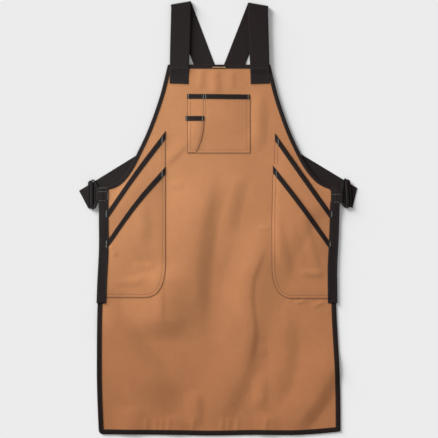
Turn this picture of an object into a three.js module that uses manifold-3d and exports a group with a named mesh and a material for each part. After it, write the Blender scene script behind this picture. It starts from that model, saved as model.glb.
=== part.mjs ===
// Work apron laid flat on its back: a duck canvas body with taped edges, a bib pocket that carries a
// pencil pocket, a doubled hand pocket at each side, webbing strips down the sides, and two webbing
// shoulder straps that fold back at the top, cross behind the bib and run through a buckle at each side.
// Millimetres. +X is to the right as the apron is looked down on, +Y is towards the bib, +Z is up.
import * as THREE from "three";
import { mergeVertices } from "three/addons/utils/BufferGeometryUtils.js";
import Module from "manifold-3d";

const wasm = await Module();
wasm.setup();

// Plies and the clearance between them.
const CANVAS = 1.0;
const TAPE = 1.0;
const WEBBING = 1.5;
const GAP = 0.3;

// Widths of the narrow goods.
const TAPE_WIDTH = 12.5;
const WRAP = TAPE + GAP;
const STRAP_WIDTH = 50;
const STRIP_WIDTH = 24;

// The middle line that the left and right pieces mirror about. SIDES gives each its sign.
const MIDDLE = 1;
const SIDES = { left: -1, right: 1 };

// Height of the body's underside: the edge tape lies on the surface, and the straps lift the upper part.
const REST = WRAP;
const STRAP_LIFT = 3.5;
const LIFT_BEGINS = -180;
const LIFT_IS_FULL = -40;

// Outer edge of the taped body, from the bib's top down. left and right differ as the cloth was laid.
const BIB_TOP = 390.5;
const ARMHOLE_EDGE = [
  { y: BIB_TOP, left: -128.5, right: 131.5 },
  { y: 311, left: -148.5, right: 151 },
  { y: 230, left: -177, right: 178.5 },
  { y: 169, left: -205, right: 206 },
  { y: 128, left: -228.5, right: 229.5 },
  { y: 100, left: -252, right: 254 },
  { y: 86, left: -277, right: 279.5 },
  { y: 79.5, left: -304, right: 306.5 },
];
const SIDE_EDGE = [
  { y: 79.5, left: -304, right: 306.5 },
  { y: -80, left: -304, right: 302 },
  { y: -217, left: -307, right: 299 },
  { y: -400, left: -309, right: 308 },
  { y: -542, left: -304.2, right: 310 },
];
const HEM_EDGE = [
  { x: -295.5, y: -551 },
  { x: -35, y: -553.4 },
  { x: 90, y: -551.4 },
  { x: 185, y: -551.6 },
  { x: 250, y: -548 },
];
const EDGE_STEPS = 3;
const CURVE_STEPS = 6;

// Soft ridges in the canvas, along a line, with the reach to each side and the crest height.
const FOLDS = [
  { from: [80, -120], to: [55, -330], reach: 75, height: 3.2 },
  { from: [55, -330], to: [-20, -505], reach: 75, height: 3.5 },
  { from: [-148, -225], to: [-130, -300], reach: 85, height: 4.5 },
  { from: [-270, -280], to: [-110, -465], reach: 65, height: 4.0 },
  { from: [166, -275], to: [158, -405], reach: 55, height: 3.5 },
  { from: [272, -405], to: [185, -515], reach: 60, height: 4.5 },
];

// Bib pocket, and the pencil pocket sewn on its lower left.
const BIB_POCKET = { left: -79, right: 81, top: 316, bottom: 166 };
const BIB_BULGE = 5;
const PENCIL_POCKET = { left: -79, right: -36, foot: -57, top: 260, bottom: 168, swell: 205 };
const PENCIL_BULGE = 7;

// Hand pockets, measured out from the middle line. Each mouth slants down from the inner seam.
const POCKET_SEAM = 136;
const POCKET_EDGE = 285;
const STRIP_INNER = 280;
const POCKET_FOOT = -200;
const POCKET_CORNER = 50;
const TAPE_END = 278;
const MOUTHS = {
  upper: { inner: 222, outer: 23 },
  lower: { inner: 132, outer: -51 },
};
const POCKET_BULGE = 5;
const BULGE_FADES_FROM = 0.35;
const UPPER_INSET = 1.5;

// Webbing strip down each side: the middle of its ends.
const STRIPS = {
  left: { top: [-291, 42.5], foot: [-298, -215] },
  right: { top: [295.5, 42.5], foot: [286.8, -215] },
};

// Shoulder straps in plan: the sewn end on the bib, the fold, the bend behind the bib, and the buckle.
const STRAPS = {
  left: { sewn: [-101.5, 342], fold: [-94.8, 543], bend: [17.7, 250.3], buckle: "right", over: false },
  right: { sewn: [105.8, 342], fold: [100, 539.5], bend: [-15, 252.8], buckle: "left", over: true },
};
const BEND_RADIUS = 450;
const BEND_STEPS = 14;
const FOLD_STEPS = 8;
const CROSSING = { x: MIDDLE, y: 320, flat: 56, ramp: 60 };

// Ladder-lock buckles: bars along the length, slots between them, counted outwards from the body.
const BUCKLES = {
  left: { x: -318.5, y: 62, tilt: 0, tail: 26, tailSkew: 4 },
  right: { x: 320.5, y: 66, tilt: 2, tail: 26, tailSkew: 18 },
};
const BUCKLE_LENGTH = 76;
const BUCKLE_RAIL = 3.5;
const BUCKLE_BAR = 2.6;
const BUCKLE_TAB_SLOT = 4.0;
const BUCKLE_STRAP_SLOT = 5.5;
const BUCKLE_THICK = 2.8;
const BUCKLE_CORNER = 4;
const BUCKLE_BEVEL = 0.5;
const WEAVE_EASE = 0.2;
const BUCKLE_WIDTH = 4 * BUCKLE_BAR + BUCKLE_TAB_SLOT + 2 * BUCKLE_STRAP_SLOT;

// Webbing tab that holds each buckle to the body's side.
const TAB_PLY = 1.3;
const TAB_LENGTH = 36;
const TAB_SEWN = 25;
const TAB_MIDDLE_Y = 61;

const CANVAS_CLOTH = new THREE.MeshStandardMaterial({ color: 0xbc835c, roughness: 0.9, metalness: 0 });
const BLACK_TAPE = new THREE.MeshStandardMaterial({ color: 0x292323, roughness: 0.85, metalness: 0 });
const BLACK_WEBBING = new THREE.MeshStandardMaterial({ color: 0x2c2626, roughness: 0.8, metalness: 0 });
const BLACK_PLASTIC = new THREE.MeshStandardMaterial({ color: 0x1f1e1e, roughness: 0.45, metalness: 0 });

// Solids and meshes

function toSolid(geometry) {
  const bare = geometry.clone();
  bare.deleteAttribute("normal");
  bare.deleteAttribute("uv");
  const merged = mergeVertices(bare, 1e-4);
  return new wasm.Manifold(
    new wasm.Mesh({
      numProp: 3,
      vertProperties: new Float32Array(merged.attributes.position.array),
      triVerts: new Uint32Array(merged.index.array),
    }),
  );
}

function toMesh(name, solid, material) {
  const made = solid.getMesh();
  const geometry = new THREE.BufferGeometry();
  geometry.setAttribute("position", new THREE.BufferAttribute(made.vertProperties, 3));
  geometry.setIndex(new THREE.BufferAttribute(made.triVerts, 1));
  geometry.computeVertexNormals();
  const mesh = new THREE.Mesh(geometry, material.clone());
  mesh.name = name;
  return mesh;
}

function geometryOf(points, triangles) {
  const geometry = new THREE.BufferGeometry();
  geometry.setAttribute("position", new THREE.Float32BufferAttribute(points.flat(), 3));
  geometry.setIndex(triangles.flat());
  return geometry;
}

// A straight-sided solid that cuts an outline out of a layer of cloth.
const REACH = 60;

function prism(outline) {
  const depth = 2 * REACH;
  const geometry = new THREE.ExtrudeGeometry(new THREE.Shape(outline), { depth, bevelEnabled: false });
  return toSolid(geometry.translate(0, 0, -REACH));
}

function rectangle(left, right, bottom, top) {
  const corners = [[left, bottom], [right, bottom], [right, top], [left, top]];
  return corners.map(([x, y]) => new THREE.Vector2(x, y));
}

// An anticlockwise outline moved inwards, with mitred corners.
function inset(outline, distance) {
  const inward = (a, b) => new THREE.Vector2(a.y - b.y, b.x - a.x).normalize();
  return outline.map((point, i) => {
    const before = outline.at(i - 1);
    const after = outline[(i + 1) % outline.length];
    const first = inward(before, point);
    const second = inward(point, after);
    const scale = distance / (1 + first.dot(second));
    return point.clone().add(first.add(second).multiplyScalar(scale));
  });
}

// Cloth layers: all share one grid, so that plies that lie on each other never cross between its lines.
const GRID = { step: 28, edge: 294, side: 325, bottom: -561, top: 399, nearest: 9 };

function spacedLines(from, to, step) {
  const count = Math.round((to - from) / step);
  return Array.from({ length: count + 1 }, (_, i) => from + ((to - from) * i) / count);
}

function gridColumns() {
  const half = [
    ...spacedLines(0, POCKET_SEAM, GRID.step),
    ...spacedLines(POCKET_SEAM, STRIP_INNER, GRID.step).slice(1),
    GRID.edge,
    GRID.side,
  ];
  const { left, right } = PENCIL_POCKET;
  const quarter = (right - left) / 4;
  const pencil = [left, left + quarter, right - quarter, right];
  const clear = (x) => pencil.every((line) => Math.abs(x - line) > GRID.nearest);
  const mirrored = [...half.map((u) => MIDDLE - u), ...half.slice(1).map((u) => MIDDLE + u)];
  return [...mirrored.filter(clear), ...pencil].sort((a, b) => a - b);
}

const COLUMNS = gridColumns();
const ROWS = spacedLines(GRID.bottom, GRID.top, GRID.step);

function smooth(from, to, value) {
  return THREE.MathUtils.smoothstep(value, from, to);
}

function foldHeight(fold, x, y) {
  const line = new THREE.Line3(new THREE.Vector3(...fold.from, 0), new THREE.Vector3(...fold.to, 0));
  const point = new THREE.Vector3(x, y, 0);
  const away = line.closestPointToPoint(point, true, new THREE.Vector3()).distanceTo(point) / fold.reach;
  return away < 1 ? fold.height * (1 - away * away) ** 2 : 0;
}

function bodyUnderside(x, y) {
  const lift = STRAP_LIFT * smooth(LIFT_BEGINS, LIFT_IS_FULL, y);
  return REST + lift + FOLDS.reduce((sum, fold) => sum + foldHeight(fold, x, y), 0);
}

// How far a pocket stands off its backing: nothing at its side seams and foot, most along its mouth.
function pocketBulge(bulge, across, down) {
  const s = THREE.MathUtils.clamp(across, 0, 1);
  return bulge * 4 * s * (1 - s) * (1 - smooth(BULGE_FADES_FROM, 1, down));
}

function mouthHeight(mouth, u) {
  return THREE.MathUtils.mapLinear(u, POCKET_SEAM, STRIP_INNER, mouth.inner, mouth.outer);
}

function handPocketBulge(mouth, x, y) {
  const u = Math.abs(x - MIDDLE);
  const top = mouthHeight(mouth, u);
  const across = (u - POCKET_SEAM) / (STRIP_INNER - POCKET_SEAM);
  return pocketBulge(POCKET_BULGE, across, (top - y) / (top - POCKET_FOOT));
}

function patchBulge(pocket, bulge, x, y) {
  const across = (x - pocket.left) / (pocket.right - pocket.left);
  return pocketBulge(bulge, across, (pocket.top - y) / (pocket.top - pocket.bottom));
}

const above = (base, rise) => (x, y) => base(x, y) + rise;
const standingOff = (base, bulge) => (x, y) => base(x, y) + GAP + bulge(x, y);

const bodyTop = above(bodyUnderside, CANVAS);
const upperPocketLow = standingOff(bodyTop, (x, y) => handPocketBulge(MOUTHS.upper, x, y));
const upperPocketTop = above(upperPocketLow, CANVAS);
const lowerPocketLow = standingOff(upperPocketTop, (x, y) => handPocketBulge(MOUTHS.lower, x, y));
const lowerPocketTop = above(lowerPocketLow, CANVAS);
const stripLow = above(lowerPocketTop, GAP);
const bibPocketLow = standingOff(bodyTop, (x, y) => patchBulge(BIB_POCKET, BIB_BULGE, x, y));
const bibPocketTop = above(bibPocketLow, CANVAS);
const pencilBulge = (x, y) => patchBulge(PENCIL_POCKET, PENCIL_BULGE, x, y);
const pencilPocketLow = standingOff(bibPocketTop, pencilBulge);
const pencilPocketTop = above(pencilPocketLow, CANVAS);

// A closed layer of cloth over the whole grid, between two heights.
function layer(low, high) {
  const points = [];
  for (const y of ROWS) {
    for (const x of COLUMNS) points.push([x, y, low(x, y)], [x, y, high(x, y)]);
  }
  const under = (i, j) => 2 * (j * COLUMNS.length + i);
  const over = (i, j) => under(i, j) + 1;
  const triangles = [];
  const quad = (a, b, c, d) => triangles.push([a, b, c], [a, c, d]);
  const lastColumn = COLUMNS.length - 1;
  const lastRow = ROWS.length - 1;
  for (let j = 0; j < lastRow; j += 1) {
    for (let i = 0; i < lastColumn; i += 1) {
      quad(over(i, j), over(i + 1, j), over(i + 1, j + 1), over(i, j + 1));
      triangles.push([under(i, j), under(i + 1, j + 1), under(i + 1, j)]);
      triangles.push([under(i, j), under(i, j + 1), under(i + 1, j + 1)]);
    }
  }
  for (let i = 0; i < lastColumn; i += 1) {
    quad(under(i, 0), under(i + 1, 0), over(i + 1, 0), over(i, 0));
    quad(under(i + 1, lastRow), under(i, lastRow), over(i, lastRow), over(i + 1, lastRow));
  }
  for (let j = 0; j < lastRow; j += 1) {
    quad(under(0, j + 1), under(0, j), over(0, j), over(0, j + 1));
    quad(under(lastColumn, j), under(lastColumn, j + 1), over(lastColumn, j + 1), over(lastColumn, j));
  }
  return toSolid(geometryOf(points, triangles));
}

function cutCloth(outline, low, high) {
  return layer(low, high).intersect(prism(outline));
}

// Body and its edge tape

function bodyOutline() {
  const edge = (rows, side) => rows.map((row) => new THREE.Vector2(row[side], row.y));
  const top = ARMHOLE_EDGE[0];
  const outline = new THREE.Path().moveTo(top.right, top.y).lineTo(top.left, top.y);
  outline.splineThru(edge(ARMHOLE_EDGE, "left").slice(1));
  outline.splineThru(edge(SIDE_EDGE, "left").slice(1));
  const hem = HEM_EDGE.map(({ x, y }) => new THREE.Vector2(x, y));
  const rightSide = edge(SIDE_EDGE, "right").reverse();
  outline.lineTo(hem[0].x, hem[0].y).splineThru([...hem.slice(1), rightSide[0]]);
  outline.splineThru(rightSide.slice(1));
  outline.splineThru(edge(ARMHOLE_EDGE, "right").reverse().slice(1));
  return outline.getPoints(EDGE_STEPS).slice(0, -1);
}

const BODY_OUTLINE = bodyOutline();

function makeBody() {
  const panel = cutCloth(inset(BODY_OUTLINE, WRAP), bodyUnderside, bodyTop);
  return [toMesh("body_panel", panel, CANVAS_CLOTH)];
}

// Edge tape folded round the body's edge, cut into the lengths that it is sewn on in.
const BIB_JOIN = 112;
const ARMHOLE_JOIN = 284;
const HEM_JOIN = -523;
const FAR = 600;

function makeEdgeTape() {
  const under = above(bodyUnderside, -WRAP);
  const over = above(bodyTop, WRAP);
  const band = prism(BODY_OUTLINE).subtract(prism(inset(BODY_OUTLINE, TAPE_WIDTH)));
  const folded = layer(under, over).intersect(band);
  const room = cutCloth(inset(BODY_OUTLINE, TAPE), above(bodyUnderside, -GAP), above(bodyTop, GAP));
  const ring = folded.subtract(room);
  const stretch = (name, left, right, bottom, top) =>
    toMesh(name, ring.intersect(prism(rectangle(left, right, bottom, top))), BLACK_TAPE);
  return [
    stretch("bib_binding", MIDDLE - BIB_JOIN, MIDDLE + BIB_JOIN, 0, FAR),
    stretch("armhole_binding_left", MIDDLE - ARMHOLE_JOIN, MIDDLE - BIB_JOIN - GAP, 0, FAR),
    stretch("armhole_binding_right", MIDDLE + BIB_JOIN + GAP, MIDDLE + ARMHOLE_JOIN, 0, FAR),
    stretch("side_binding_left", -FAR, MIDDLE - ARMHOLE_JOIN - GAP, HEM_JOIN + GAP, FAR),
    stretch("side_binding_right", MIDDLE + ARMHOLE_JOIN + GAP, FAR, HEM_JOIN + GAP, FAR),
    stretch("hem_binding", -FAR, FAR, -FAR, HEM_JOIN),
  ];
}

// Pockets

// Tape over a pocket's mouth: a front ply and a lip over the cut edge, between the ends of its top edge.
function mouthTape(start, end, low, top) {
  const slant = Math.hypot(end.x - start.x, end.y - start.y) / Math.abs(end.x - start.x);
  const strip = (width) => {
    const drop = new THREE.Vector2(0, width * slant);
    return prism([start, end, end.clone().sub(drop), start.clone().sub(drop)]);
  };
  const over = above(top, WRAP);
  const front = layer(above(top, GAP), over).intersect(strip(TAPE_WIDTH));
  const lip = layer(low, over).intersect(strip(TAPE));
  return front.add(lip);
}

function makeBibPocket() {
  const { left, right, top, bottom } = BIB_POCKET;
  const panel = cutCloth(rectangle(left, right, bottom, top - WRAP), bibPocketLow, bibPocketTop);
  const ends = [new THREE.Vector2(left, top), new THREE.Vector2(right, top)];
  return [
    toMesh("bib_pocket", panel, CANVAS_CLOTH),
    toMesh("bib_pocket_binding", mouthTape(...ends, bibPocketLow, bibPocketTop), BLACK_TAPE),
  ];
}

function makePencilPocket() {
  const { left, right, foot, top, bottom, swell } = PENCIL_POCKET;
  const outline = new THREE.Path().moveTo(left, top - WRAP).lineTo(left, bottom).lineTo(foot, bottom);
  outline.quadraticCurveTo(right, swell, right, top - WRAP);
  const panel = cutCloth(outline.getPoints(CURVE_STEPS), pencilPocketLow, pencilPocketTop);
  const ends = [new THREE.Vector2(left, top), new THREE.Vector2(right, top)];
  return [
    toMesh("pencil_pocket", panel, CANVAS_CLOTH),
    toMesh("pencil_pocket_binding", mouthTape(...ends, pencilPocketLow, pencilPocketTop), BLACK_TAPE),
  ];
}

// One ply of a hand pocket, with its tape: slanted mouth, straight inner seam and a round lower corner.
function makePocketPly(level, side, margin, low, top) {
  const mouth = MOUTHS[level];
  const x = (u) => MIDDLE + SIDES[side] * u;
  const run = STRIP_INNER - POCKET_SEAM;
  const drop = (WRAP * Math.hypot(run, mouth.inner - mouth.outer)) / run;
  const seam = POCKET_SEAM + margin;
  const foot = POCKET_FOOT + margin;
  const outline = new THREE.Path().moveTo(x(POCKET_EDGE), mouthHeight(mouth, POCKET_EDGE) - drop);
  outline.lineTo(x(POCKET_EDGE), foot).lineTo(x(seam + POCKET_CORNER), foot);
  outline.quadraticCurveTo(x(seam), foot, x(seam), foot + POCKET_CORNER);
  outline.lineTo(x(seam), mouthHeight(mouth, seam) - drop);
  const panel = cutCloth(outline.getPoints(CURVE_STEPS), low, top);
  const ends = [POCKET_SEAM, TAPE_END].map((u) => new THREE.Vector2(x(u), mouthHeight(mouth, u)));
  return [
    toMesh(`${level}_hand_pocket_${side}`, panel, CANVAS_CLOTH),
    toMesh(`${level}_pocket_binding_${side}`, mouthTape(...ends, low, top), BLACK_TAPE),
  ];
}

function makeHandPocket(side) {
  return [
    ...makePocketPly("upper", side, UPPER_INSET, upperPocketLow, upperPocketTop),
    ...makePocketPly("lower", side, 0, lowerPocketLow, lowerPocketTop),
  ];
}

function makeSideStrip(side) {
  const { top, foot } = STRIPS[side];
  const half = STRIP_WIDTH / 2;
  const corners = [
    [foot[0] - half, foot[1]],
    [foot[0] + half, foot[1]],
    [top[0] + half, top[1]],
    [top[0] - half, top[1]],
  ];
  const outline = corners.map(([x, y]) => new THREE.Vector2(x, y));
  const strip = cutCloth(outline, stripLow, above(stripLow, WEBBING));
  return [toMesh(`side_webbing_${side}`, strip, BLACK_WEBBING)];
}

// Heights at the raised upper part, where the straps, tabs and buckles lie.
const RAISED = REST + STRAP_LIFT;
const TAB_UNDER_TOP = RAISED - WRAP - GAP;
const TAB_OVER_LOW = RAISED + CANVAS + WRAP + GAP;
const BUCKLE_LOW = TAB_UNDER_TOP + GAP;
const BUCKLE_TOP = BUCKLE_LOW + BUCKLE_THICK;
const STRAP_FRONT_LOW = TAB_OVER_LOW;

// Buckles and tabs

// Distance of each bar and slot from the buckle's middle, counted outwards from the body.
function buckleSlots() {
  const widths = [BUCKLE_TAB_SLOT, BUCKLE_STRAP_SLOT, BUCKLE_STRAP_SLOT];
  let at = -BUCKLE_WIDTH / 2;
  return widths.map((width) => {
    const from = at + BUCKLE_BAR;
    at = from + width;
    return { from, to: at };
  });
}

function roundedRectangle(path, halfWidth, halfLength, radius) {
  path.moveTo(halfWidth, radius - halfLength);
  path.lineTo(halfWidth, halfLength - radius);
  path.absarc(halfWidth - radius, halfLength - radius, radius, 0, Math.PI / 2);
  path.absarc(radius - halfWidth, halfLength - radius, radius, Math.PI / 2, Math.PI);
  path.absarc(radius - halfWidth, radius - halfLength, radius, Math.PI, 1.5 * Math.PI);
  path.absarc(halfWidth - radius, radius - halfLength, radius, 1.5 * Math.PI, 2 * Math.PI);
  return path;
}

function makeBuckle(side, sign) {
  const { x, y, tilt } = BUCKLES[side];
  const frame = roundedRectangle(new THREE.Shape(), BUCKLE_WIDTH / 2, BUCKLE_LENGTH / 2, BUCKLE_CORNER);
  const geometry = new THREE.ExtrudeGeometry(frame, {
    depth: BUCKLE_THICK - 2 * BUCKLE_BEVEL,
    curveSegments: 3,
    bevelSegments: 1,
    bevelThickness: BUCKLE_BEVEL,
    bevelSize: BUCKLE_BEVEL,
    bevelOffset: -BUCKLE_BEVEL,
  });
  const slotLength = BUCKLE_LENGTH - 2 * BUCKLE_RAIL;
  const ladder = buckleSlots().reduce((solid, { from, to }) => {
    const slot = new THREE.BoxGeometry(to - from, slotLength, REACH);
    return solid.subtract(toSolid(slot.translate((sign * (from + to)) / 2, 0, 0)));
  }, toSolid(geometry));
  const mesh = toMesh(`buckle_${side}`, ladder, BLACK_PLASTIC);
  mesh.position.set(x, y, BUCKLE_LOW + BUCKLE_BEVEL);
  mesh.rotation.z = THREE.MathUtils.degToRad(tilt);
  return [mesh];
}

// The tab is one strip of webbing folded round the buckle's inner bar, with a leg over the body's edge
// and a leg under it.
function makeTab(side, sign) {
  const { x: buckleX, y: buckleY, tilt } = BUCKLES[side];
  const lean = Math.tan(THREE.MathUtils.degToRad(tilt)) * (TAB_MIDDLE_Y - buckleY);
  const barEdge = buckleX - lean - sign * (BUCKLE_WIDTH / 2 - BUCKLE_BAR);
  const inner = (TAB_OVER_LOW - TAB_UNDER_TOP) / 2;
  const outer = inner + TAB_PLY;
  const middle = (TAB_OVER_LOW + TAB_UNDER_TOP) / 2;
  const sewn = -sign * TAB_SEWN;
  const from = Math.PI / 2;
  const to = from - sign * Math.PI;
  const profile = new THREE.Shape().moveTo(sewn, middle + outer).lineTo(0, middle + outer);
  profile.absarc(0, middle, outer, from, to, sign > 0);
  profile.lineTo(sewn, middle - outer).lineTo(sewn, middle - inner).lineTo(0, middle - inner);
  profile.absarc(0, middle, inner, to, from, sign < 0);
  profile.lineTo(sewn, middle + inner);
  const geometry = new THREE.ExtrudeGeometry(profile, {
    depth: TAB_LENGTH,
    bevelEnabled: false,
    curveSegments: 8,
  });
  geometry.rotateX(Math.PI / 2);
  const mesh = toMesh(`buckle_tab_${side}`, toSolid(geometry), BLACK_WEBBING);
  mesh.position.set(barEdge, TAB_MIDDLE_Y + TAB_LENGTH / 2, 0);
  return [mesh];
}

// Shoulder straps

// A band of webbing through a row of stations, each a ring of four corners.
function loft(rings) {
  const points = rings.flat();
  const triangles = [];
  const quad = (a, b, c, d) => triangles.push([a, b, c], [a, c, d]);
  const corner = (ring, k) => 4 * ring + (k % 4);
  for (let ring = 0; ring + 1 < rings.length; ring += 1) {
    for (let k = 0; k < 4; k += 1) {
      quad(corner(ring, k), corner(ring + 1, k), corner(ring + 1, k + 1), corner(ring, k + 1));
    }
  }
  const last = rings.length - 1;
  quad(corner(0, 0), corner(0, 1), corner(0, 2), corner(0, 3));
  quad(corner(last, 3), corner(last, 2), corner(last, 1), corner(last, 0));
  return toSolid(geometryOf(points, triangles));
}

// One station: centre and half width in plan, and the heights of the strap's inside and outside faces.
function station(centre, half, inside, outside) {
  const left = centre.clone().sub(half);
  const right = centre.clone().add(half);
  return [
    [left.x, left.y, inside],
    [right.x, right.y, inside],
    [right.x, right.y, outside],
    [left.x, left.y, outside],
  ];
}

// Half a strap's width along a section line that crosses the strap's own direction at any angle.
function halfSection(direction, line) {
  return line.clone().multiplyScalar(STRAP_WIDTH / 2 / Math.abs(direction.cross(line)));
}

const plan = ([x, y]) => new THREE.Vector2(x, y);
const sideways = (v) => new THREE.Vector2(-v.y, v.x);

function makeStrap(side) {
  const { sewn, fold, bend, buckle, over } = STRAPS[side];
  const sewnEnd = plan(sewn);
  const foldPoint = plan(fold);
  const bendPoint = plan(bend);
  const lock = BUCKLES[buckle];
  const sign = SIDES[buckle];
  const outward = new THREE.Vector2(sign, 0);
  outward.rotateAround(new THREE.Vector2(), THREE.MathUtils.degToRad(lock.tilt));
  const [, near, far] = buckleSlots();
  const slotMiddle = (near.from + far.to) / 2;
  const lockPoint = new THREE.Vector2(lock.x, lock.y).addScaledVector(outward, slotMiddle);
  const up = foldPoint.clone().sub(sewnEnd).normalize();
  const down = bendPoint.clone().sub(foldPoint).normalize();
  const waist = lockPoint.clone().sub(bendPoint).normalize();
  const rings = [];

  // Front run, sewn to the bib, flat up to the fold.
  const frontTop = STRAP_FRONT_LOW + WEBBING;
  rings.push(station(sewnEnd, halfSection(up, sideways(up).negate()), STRAP_FRONT_LOW, frontTop));

  // Fold: the strap turns round a crease that halves the angle between its two runs.
  const outwards = up.clone().sub(down).normalize();
  const crease = sideways(outwards).negate();
  const creaseHalf = halfSection(up, crease);
  const drift = up.dot(crease) / up.dot(outwards);
  const inRadius = (STRAP_FRONT_LOW - WEBBING) / 2;
  const outRadius = inRadius + WEBBING;
  for (let step = 0; step <= FOLD_STEPS; step += 1) {
    const turn = (Math.PI * step) / FOLD_STEPS;
    const along = ((inRadius + outRadius) / 2) * (turn - Math.PI / 2) * drift;
    const ring = [inRadius, outRadius].map((radius) => {
      const reach = outwards.clone().multiplyScalar(radius * Math.sin(turn));
      const centre = foldPoint.clone().add(reach).addScaledVector(crease, along);
      const height = outRadius + radius * Math.cos(turn);
      return station(centre, creaseHalf, height, height);
    });
    rings.push([ring[0][0], ring[0][1], ring[1][2], ring[1][3]]);
  }

  // Back run: straight, an easy bend in plan, straight again, lifted where it crosses the other strap.
  const lifted = (point) => {
    const away = Math.hypot(point.x - CROSSING.x, point.y - CROSSING.y);
    return over ? (WEBBING + GAP) * (1 - smooth(CROSSING.flat, CROSSING.flat + CROSSING.ramp, away)) : 0;
  };
  const bendSign = Math.sign(down.cross(waist));
  const bendAngle = Math.acos(down.dot(waist));
  const tangent = BEND_RADIUS * Math.tan(bendAngle / 2);
  const bendStart = bendPoint.clone().addScaledVector(down, -tangent);
  const bendCentre = bendStart.clone().addScaledVector(sideways(down), bendSign * BEND_RADIUS);
  for (let step = 0; step <= BEND_STEPS; step += 1) {
    const angle = (bendSign * bendAngle * step) / BEND_STEPS;
    const point = bendStart.clone().rotateAround(bendCentre, angle);
    const direction = down.clone().rotateAround(new THREE.Vector2(), angle);
    const low = lifted(point);
    rings.push(station(point, halfSection(direction, sideways(direction)), low + WEBBING, low));
  }

  // Through the buckle: under the bar, over the middle bar, under the outer bar, and out to the free tail.
  const bars = sideways(outward);
  const climb = BUCKLE_TOP + GAP + WEAVE_EASE;
  const duck = BUCKLE_LOW - GAP - WEBBING - WEAVE_EASE;
  const weave = [
    { at: -BUCKLE_WIDTH, low: 0 },
    { at: near.from - BUCKLE_BAR, low: WEAVE_EASE },
    { at: near.from + WEAVE_EASE, low: duck },
    { at: near.to - WEAVE_EASE, low: climb },
    { at: far.from + WEAVE_EASE, low: climb },
    { at: far.to - WEAVE_EASE, low: duck },
    { at: far.to + BUCKLE_BAR, low: WEAVE_EASE },
  ];
  const along = waist.dot(outward);
  for (const { at, low } of weave) {
    const centre = lockPoint.clone().addScaledVector(waist, (at - slotMiddle) / along);
    rings.push(station(centre, halfSection(waist, bars), low + WEBBING, low));
  }
  const tailSkew = sign * THREE.MathUtils.degToRad(lock.tailSkew);
  const tailLine = sideways(waist).rotateAround(new THREE.Vector2(), tailSkew);
  const tailEnd = lockPoint.clone().addScaledVector(waist, lock.tail);
  rings.push(station(tailEnd, halfSection(waist, tailLine), WEBBING, 0));
  return [toMesh(`shoulder_strap_${side}`, loft(rings), BLACK_WEBBING)];
}

// The assembly, with its origin on the surface under the middle of its outline.

const apron = new THREE.Group();
apron.add(...makeBody(), ...makeEdgeTape(), ...makeBibPocket(), ...makePencilPocket());
for (const [side, sign] of Object.entries(SIDES)) {
  apron.add(...makeHandPocket(side), ...makeSideStrip(side));
  apron.add(...makeTab(side, sign), ...makeBuckle(side, sign), ...makeStrap(side));
}
const extent = new THREE.Box3().setFromObject(apron);
const middle = extent.getCenter(new THREE.Vector3());
apron.position.set(-middle.x, -middle.y, -extent.min.z);

const part = new THREE.Group();
part.add(apron);
export default part;
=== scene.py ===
# Looks of a canvas work apron that lies flat on its back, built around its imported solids.
# Lengths are millimetres in the cloth pattern's frame: +X right, +Y towards the bib, +Z up off the surface.
# metres() moves points from there into the shared frame.
import math

import bmesh
import bpy
import numpy as np
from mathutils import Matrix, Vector
from mathutils.geometry import delaunay_2d_cdt


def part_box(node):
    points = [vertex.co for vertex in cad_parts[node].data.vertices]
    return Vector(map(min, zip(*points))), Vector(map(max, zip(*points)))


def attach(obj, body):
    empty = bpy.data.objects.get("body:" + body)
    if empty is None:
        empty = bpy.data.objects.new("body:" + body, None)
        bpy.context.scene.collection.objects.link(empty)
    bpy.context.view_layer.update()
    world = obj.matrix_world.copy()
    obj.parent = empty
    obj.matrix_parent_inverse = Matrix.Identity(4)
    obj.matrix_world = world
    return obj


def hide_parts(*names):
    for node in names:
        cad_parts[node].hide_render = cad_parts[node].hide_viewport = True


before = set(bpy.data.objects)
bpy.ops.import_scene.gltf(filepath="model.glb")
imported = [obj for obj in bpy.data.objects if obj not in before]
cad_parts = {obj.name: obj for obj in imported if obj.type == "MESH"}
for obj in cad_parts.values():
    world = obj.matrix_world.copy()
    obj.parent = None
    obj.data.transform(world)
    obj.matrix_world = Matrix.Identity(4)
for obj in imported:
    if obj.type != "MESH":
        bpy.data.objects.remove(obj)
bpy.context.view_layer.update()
MM = 0.001

# Plies, and the room between them.
CANVAS = 0.7
TAPE = 1.1
WEBBING = 1.5
PLY_GAP = 0.1

# Widths of the narrow goods.
TAPE_WIDTH = 12.5
NARROW_TAPE = 10.3
WRAP = 1.3
STRAP_WIDTH = 50.0
STRIP_WIDTH = 24.4

# The middle line that the left and right pieces mirror about.
MIDDLE = 1.0
SIDES = {"left": -1, "right": 1}

# Height of the body's underside: the straps behind the bib lift its upper part.
REST = 1.3
STRAP_LIFT = 3.5
MIDDLE_LIFT = (-180.0, -40.0)
SIDE_LIFT = (-10.0, 44.0)
LIFT_SIDES = (140.0, 270.0)

# Outer edge of the taped body: height, left and right.
BIB_TOP = 390.5
ARMHOLE_EDGE = (
    (BIB_TOP, -128.5, 131.5),
    (311.0, -148.5, 151.0),
    (230.0, -177.0, 178.5),
    (169.0, -205.0, 206.0),
    (128.0, -226.5, 229.5),
    (100.0, -247.5, 254.0),
    (86.0, -270.0, 279.5),
    (79.5, -304.0, 306.5),
)
SIDE_EDGE = (
    (79.5, -304.0, 306.5),
    (-80.0, -302.2, 301.6),
    (-217.0, -307.0, 299.0),
    (-400.0, -309.0, 308.0),
    (-540.8, -304.2, 310.0),
)
HEM_EDGE = (
    (-303.8, -547.8),
    (-110.0, -549.4),
    (-20.0, -551.0),
    (90.0, -549.2),
    (185.0, -549.8),
    (250.0, -546.6),
)

# Radius of the edge's corners: the hem's, and the others.
HEM_ROUNDS = {"left": 12.0, "right": 5.0}
CORNER_ROUND = 3.0

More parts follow.
